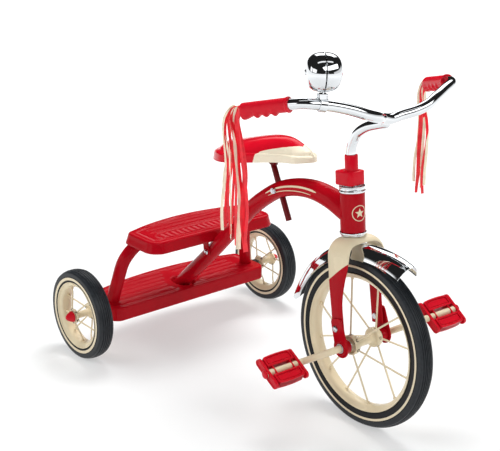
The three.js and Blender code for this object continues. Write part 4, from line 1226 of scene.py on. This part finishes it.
def grip(side):
    """A moulded sleeve: a flange at its inner end, a plain top and finger ridges beneath."""
    start, end = GRIP_START, GRIP_END
    span = end - start
    along = unit(span)
    u = unit(np.cross(Z, along))
    down = -unit(np.cross(along, u))
    length = np.linalg.norm(span)
    a = np.linspace(0, 2 * math.pi, 64, endpoint=False)
    rows = []
    stations = [(0.0, 11.7), (0.008, 12.3), (0.030, 12.4), (0.042, 11.9), (0.055, 11.3)]
    stations += [(t, GRIP_RADIUS) for t in np.linspace(0.07, 0.95, 110)]
    stations += [(0.965, GRIP_RADIUS - 0.1), (0.98, GRIP_RADIUS - 0.6), (0.992, GRIP_RADIUS - 1.7),
                 (1.0, GRIP_RADIUS - 3.4)]
    for t, radius in stations:
        under = np.maximum(0, np.cos(a)) ** 1.4
        wave = (0.5 + 0.5 * math.cos((t - 0.31) * 2 * math.pi * 5.4)) ** 1.5
        ridge = 3.6 * wave * float(smoothstep(t, 0.20, 0.29) * (1 - smoothstep(t, 0.70, 0.76)))
        heel = 4.2 * float(smoothstep(t, 0.74, 0.95)) * float(1 - 0.5 * smoothstep(t, 0.975, 1.0))
        r = radius + (ridge + heel) * under
        p = start + along * length * t
        rows.append(p + r[:, None] * (np.cos(a)[:, None] * down + np.sin(a)[:, None] * u))
    bore = [(1.0, 3.0), (0.9, 3.0)]
    for t, r in bore:
        p = start + along * length * t
        rows.append(p + r * (np.cos(a)[:, None] * down + np.sin(a)[:, None] * u))
    shape = loft(rows)
    return for_side(shape, side)


def head_collar():
    """The moulded block over the ring nut, with the sleeve that the stem passes through."""
    base = HEAD_LENGTH
    outline = [(x - 4.7, y) for x, y in rounded_rect(41.5, 37, 9, 8)]
    levels = [(0.94, 12.5), (0.985, 12.9), (1.0, 14.0), (1.0, 33.6), (0.985, 35.2), (0.94, 36.0), (0.7, 36.2)]
    rows = []
    for grow, level in levels:
        rows.append([((x + 4.7) * grow - 4.7, y * grow, base + level) for x, y in outline])
    block = loft(rows)
    sleeve, faces = turned([(9.5, 34), (12.6, 34), (12.2, 36.4), (11.3, 37.4), (11.2, 61.6), (10.7, 62.8),
                            (9.5, 63)],
                           64)
    sleeve = np.stack([sleeve[:, 0], sleeve[:, 2], sleeve[:, 1] + base], 1)
    verts, faces = joined(block, (sleeve, faces))
    return on_head_axis(verts), faces


BELL_CENTRE = np.array([535.0, -140.0, 632.5])
BELL_AZIMUTH = math.radians(57)
BAR_AT_BELL = np.array([533.6, -139.0, 583.9])


def bell_turn():
    return rotation(Z, BELL_AZIMUTH - math.pi / 2)


def bell_dome(side):
    """A rounded cup with a small step near its mouth, and a flat boss for the spindle."""
    profile = []
    radius, length, wall = 29.0, 27.0, 1.3
    for s in np.linspace(1, 0, 30):
        a = math.pi / 2 * s
        profile.append((max(radius * math.cos(a) ** 0.72, 0.01), 1 + (length - 1) * math.sin(a) ** 0.8))
    profile[-1] = (radius, 2.2)
    profile += [(radius + 0.35, 1.9), (radius + 0.35, 1.0), (radius - 0.6, 0.8), (radius - wall, 1.4)]
    for s in np.linspace(0.05, 1, 16):
        a = math.pi / 2 * s
        profile.append((max((radius - wall) * math.cos(a) ** 0.72, 0.01),
                        1 + (length - 1 - wall) * math.sin(a) ** 0.8))
    shape = turned(profile, 112, closed=False)
    return moved(for_side(shape, side), bell_turn(), BELL_CENTRE)


def bell_mount():
    """The clamp round the bar, its ears and screw, the post and the spindle through both domes."""
    direction = unit((11, 27, -4.5))
    side = unit(np.cross(direction, Z))
    rise = np.cross(side, direction)
    a = np.linspace(0, 2 * math.pi, 56, endpoint=False)
    rows = []
    for s, r in ((-6, 9.2), (-6, 10.6), (-5.4, 11.1), (5.4, 11.1), (6, 10.6), (6, 9.2)):
        rows.append(BAR_AT_BELL + direction * s + r * (np.cos(a)[:, None] * side + np.sin(a)[:, None] * rise))
    pieces = [loft(rows, closed=True)]
    turn = bell_turn()
    saddle_low = BAR_AT_BELL[2] + BAR_RADIUS
    foot = np.array([BELL_CENTRE[0], BELL_CENTRE[1], saddle_low])
    pieces.append(moved(prism(rounded_rect(13, 11, 2.5), 0.6, 8.6, "z"), turn, foot))
    pieces.append(moved(prism(rounded_rect(10, 2.0, 0.8), 5.0, 48, "z"), turn, foot))
    nut = [(4.2 * math.cos(b), 4.2 * math.sin(b)) for b in np.linspace(0, 2 * math.pi, 7)[:-1]]
    pieces.append(moved(prism(nut, -9.2, -5.4), turn, foot + Z * 4.5))
    pieces.append(moved(turned([(0.01, 5.4), (3.9, 5.4), (3.9, 7.2), (2.6, 8.2), (0.01, 8.5)], 24,
                               closed=False),
                        turn, foot + Z * 4.5))
    end = 28.8
    axle = turned([(0.01, -end), (2.6, -end + 0.1), (4.3, -end + 1.0), (4.4, -end + 2.0), (2.4, -end + 2.2),
                   (2.4, end - 2.2), (4.4, end - 2.0), (4.3, end - 1.0), (2.6, end - 0.1), (0.01, end)], 32,
                  closed=False)
    pieces.append(moved(axle, turn, BELL_CENTRE))
    return joined(*pieces)


RIBBONS_RIGHT = [
    # forward offset of the hanging end, length, width, colour, lean outwards
    (-37, 204, 5.0, 1, 3), (-28, 196, 4.2, 0, 6), (-17, 214, 6.4, 1, 1), (-10, 186, 4.4, 0, 8),
    (-1, 220, 4.8, 0, 4), (6, 224, 8.0, 1, 2), (18, 224, 8.6, 0, 0), (25, 214, 5.0, 0, 5),
    (-31, 150, 4.2, 1, 9), (-20, 206, 4.2, 0, 3), (12, 160, 4.8, 0, 10),
]
RIBBONS_LEFT = [
    (-11, 184, 5.2, 1, 4), (-5, 198, 5.6, 0, 2), (0, 204, 5.4, 0, 6), (6, 192, 5.2, 1, 3),
    (11, 202, 5.4, 0, 1), (15, 186, 5.0, 1, 5), (3, 150, 4.6, 0, 8), (-8, 130, 4.6, 1, 7),
]


def ribbon(dice, side, shift, length, width, lean):
    """One limp ribbon that leaves the grip's plug, arches over and hangs with a slow wave and twist."""
    top = GRIP_END + unit(GRIP_END - GRIP_START) * -1.5
    away = unit(GRIP_END - GRIP_START)
    fan = shift / 30
    jitter = dice.uniform(-1, 1)
    points = [
        top + np.array([fan * 1.5, fan * 1.0, dice.uniform(-3, 3)]),
        top + away * (7 + lean * 0.4) + np.array([fan * 6, 0, 3.5 + lean * 0.4]),
        top + away * (12 + lean * 0.7) + np.array([fan * 13 - 3, 0, -8]),
        top + away * (11 + lean * 0.5) + np.array([shift * 0.66 - 3, 0, -34]),
        top + away * (7 + lean * 0.4) + np.array([shift * 0.82 + 2.5 * jitter, 0, -length * 0.45]),
        top + away * (6 + lean * 0.3) + np.array([shift - 2.5 * jitter, 0, -length * 0.75]),
        top + away * (5 + lean * 0.3) + np.array([shift * 1.02 + 2 * jitter, 0, -length]),
    ]
    path = curve(points, 70)
    t = np.linspace(0, 1, len(path))
    phase, waves = dice.uniform(0, 6.28), dice.uniform(1.6, 2.8)
    path[:, 0] += 1.6 * np.sin(waves * 2 * math.pi * t + phase) * smoothstep(t, 0.1, 0.4)
    path[:, 1] += 1.3 * np.sin(waves * 2 * math.pi * t + phase + 1.7) * smoothstep(t, 0.1, 0.4)
    start_turn, full_turn = dice.uniform(-0.4, 0.4), dice.uniform(-0.9, 0.9)

    def section(i, s):
        a = start_turn + full_turn * s
        half = width / 2 * (0.72 + 0.28 * float(smoothstep(s, 0.0, 0.12)))
        bend = 0.5
        ring = []
        for lift in (0.16, -0.16):
            line = [(w * half, bend * w * w + lift) for w in (-1, -0.5, 0, 0.5, 1)]
            ring += line if lift > 0 else line[::-1]
        return [(x * math.cos(a) - y * math.sin(a), x * math.sin(a) + y * math.cos(a)) for x, y in ring]

    return sweep(path, section, unit((0.75, 0.66 * side, 0.0)))


def streamers(table, side, seed):
    dice = random.Random(seed)
    shapes = [ribbon(dice, side, shift, length, width, lean) for shift, length, width, _, lean in table]
    looks = []
    for (_, _, _, colour, _), shape in zip(table, shapes):
        looks += [colour] * len(shape[1])
    shape = joined(*shapes)
    area = sum(length * width for _, length, width, _, _ in table) * MM * MM
    return for_side(shape, side), looks, area


def build_streamers():
    for name, side, table, seed in (("right", -1, RIBBONS_RIGHT, 11), ("left", 1, RIBBONS_LEFT, 23)):
        shape, looks, area = streamers(table, side, seed)
        piece = steering_piece(f"ribbons_{name}", shape, ["ribbon_red", "ribbon_cream"], [f"streamer_{name}"],
                               "ribbon", face_material=looks)


def build_steering():
    shape, looks = split_where(fork_shape(), below_paint_line)
    steering_piece("fork_blades", shape, ["cream_paint", "red_paint"], ["fork"], "cream_paint",
                   face_material=looks, sharp=50)
    steering_piece("fork_steerer", fork_steerer(), "zinc", [])
    carry("head_nut", "chrome", 0.5)
    steering_piece("head_cover", head_collar(), "red_gloss", ["head_collar"], "red_plastic")
    steering_piece("front_mudguard", fender(), "chrome", ["front_fender"], sharp=50)
    carry("fender_bolt", "zinc", 0.3)
    steering_piece("chrome_handlebar", handlebar(), "chrome", ["handlebar"])
    for name, side in (("right", -1), ("left", 1)):
        steering_piece(f"fork_cheek_{name}", fork_end(side), "red_paint", [f"fork_end_{name}"],
                       bevel=0.5)
        steering_piece(f"fork_fixing_{name}", fork_bolt(side), "zinc", [f"fork_bolt_{name}"])
        carry(f"crank_bearing_{name}", "zinc", 0.3)
        steering_piece(f"grip_sleeve_{name}", grip(side), "red_plastic", [f"grip_{name}"])
    build_streamers()


def build_bell():
    add("bell_mount", bell_mount(), "chrome", "steering", ["bell_bracket"], steered=True, bevel=0.3)
    # Known fault: the record has bell_dome_inner on the steering, but its piece here rides the bell.
    add("bell_cup_inner", bell_dome(1), "chrome", "bell", ["bell_dome_inner"], steered=True)
    add("bell_cup_outer", bell_dome(-1), "chrome", "bell", ["bell_dome_outer"], steered=True)


build_steering()
build_bell()


# ---------- front wheel, crank and pedals ----------
CRANK_ANGLE = math.radians(34)
CRANK_OUT = np.array([math.cos(CRANK_ANGLE), 0, math.sin(CRANK_ANGLE)])
THROW, PEDAL_Y, PEDAL_WIDTH, ROD = 70.0, 129.5, 72.0, 6.0
PEDAL_PITCH = {-1: 28, 1: 34}  # how each pedal is left tipped, in degrees


def crank():
    end = PEDAL_Y + PEDAL_WIDTH / 2 + 2.5
    half = [(end, THROW), (84, THROW), (66, 0)]
    corners = [-CRANK_OUT * out - Y * y for y, out in half]
    corners += [CRANK_OUT * out + Y * y for y, out in half[::-1]]
    path = [corners[0]]
    for a, b, c in zip(corners, corners[1:], corners[2:]):
        enter, leave = b + unit(a - b) * 7, b + unit(c - b) * 7
        path += [(1 - t) ** 2 * enter + 2 * t * (1 - t) * b + t * t * leave for t in np.linspace(0, 1, 12)]
    path.append(corners[-1])
    side = np.array([-CRANK_OUT[2], 0, CRANK_OUT[0]])
    return moved(tube(np.array(path), ROD, side, 40), None, HUB)


def frame_ring(outer, inner, low, high):
    """A flat border between two outlines, standing from one level to another."""
    rows = []
    for outline, level in ((outer, low), (outer, high), (inner, high), (inner, low)):
        rows.append([(x, y, level) for x, y in outline])
    return loft(rows, closed=True)


def tread_outline(side, inset):
    """A tread block seen from above: its outer edge bows out between its ends."""
    half = PEDAL_WIDTH / 2 - 7.6 - inset
    inner = 8.6 + inset
    out = [(side * inner, -half), (side * inner, half), (side * (24.5 - inset), half)]
    for y in np.linspace(half - 2.5, -half + 2.5, 15):
        out.append((side * (27.6 - inset + 1.6 * (1 - (y / half) ** 2)), y))
    return out + [(side * (24.5 - inset), -half)]


def end_plate():
    """One side plate of a pedal: a long round-ended slab, sunk a little inside its border."""
    outline, inner = rounded_rect(62, 14.6, 7.0, 8), rounded_rect(57.4, 10.0, 4.8, 8)
    rows = [[(x, level, z) for x, z in ring] for ring, level in
            ((outline, -2.7), (outline, 2.7), (inner, 2.7), (inner, 1.3))]
    return loft(rows)


def pedal(side):
    pieces = []
    for end in (-1, 1):
        outer, inner = tread_outline(end, 0.0), tread_outline(end, 3.0)
        pieces.append(prism(outer, -6.2, 6.2, "z"))
        pieces.append(frame_ring(outer, inner, -8.4, 8.4))
        pieces.append(prism(tread_outline(end, 4.8), -7.2, 7.2, "z"))
        low, high = sorted((end * 10.5, end * 24.0))
        pieces.append(box((low, -PEDAL_WIDTH / 2 + 2, -5.0), (high, PEDAL_WIDTH / 2 - 2, 5.0)))
        pieces.append(moved(for_side(end_plate(), end), None, (0, end * (PEDAL_WIDTH / 2 - 2.7), 0)))
    for y in (-19, 19):
        pieces.append(box((-12, y - 1.5, -6.6), (12, y + 1.5, 6.6)))
    shape = joined(*pieces)
    pitch = math.radians(PEDAL_PITCH[side])
    return moved(shape, rotation(Y, pitch), HUB + CRANK_OUT * side * THROW + Y * side * PEDAL_Y)


def pedal_cap(side):
    inner = PEDAL_WIDTH / 2 + 1.2
    profile = [(0.01, inner + 3.4), (3.6, inner + 3.3), (5.8, inner + 2.8), (7.2, inner + 1.6),
               (7.5, inner + 0.6), (7.3, inner), (6.3, inner), (6.3, inner + 1.6), (0.01, inner + 1.6)]
    shape = turned(profile, 40, closed=False)
    return moved(for_side(shape, side), None, HUB + CRANK_OUT * side * THROW + Y * side * PEDAL_Y)


def build_front_wheel():
    profile = tyre_profile(FRONT, 4, 3.3, 1.5, (133.6, 137.9, 0.35), 3.6)
    shape, looks = tyre(profile, HUB, 192)
    add("tyre_front", shape, ["rubber", "tread", "cream_rubber"], "front_wheel", ["front_tyre"], "tyre",
        steered=True, face_material=looks)
    add("rim_front", rim(FRONT, HUB, 192, 9.4), "cream_paint", "front_wheel", ["front_rim"],
        steered=True)
    hub = hub_and_spokes(FRONT, FRONT_HUB, HUB, 113.6, 3.4)
    add("hub_front", hub, "cream_paint", "front_wheel", ["front_hub"], steered=True)
    # Dark rings on the hub drums: painted shade for the spoke holes.
    add("spoke_holes_front", spoke_hole_shade(FRONT, FRONT_HUB, HUB), "dark_steel", "front_wheel",
        steered=True)
    add("crank_rod", crank(), "cream_paint", "front_wheel", ["crank_axle"], steered=True)
    for name, side in (("right", -1), ("left", 1)):
        add(f"pedal_block_{name}", pedal(side), "red_plastic", f"pedal_{name}", [f"pedal_{name}"],
            steered=True, bevel=0.7)
        add(f"pedal_end_{name}", pedal_cap(side), "red_plastic", "front_wheel", [f"pedal_cap_{name}"],
            steered=True)


build_front_wheel()
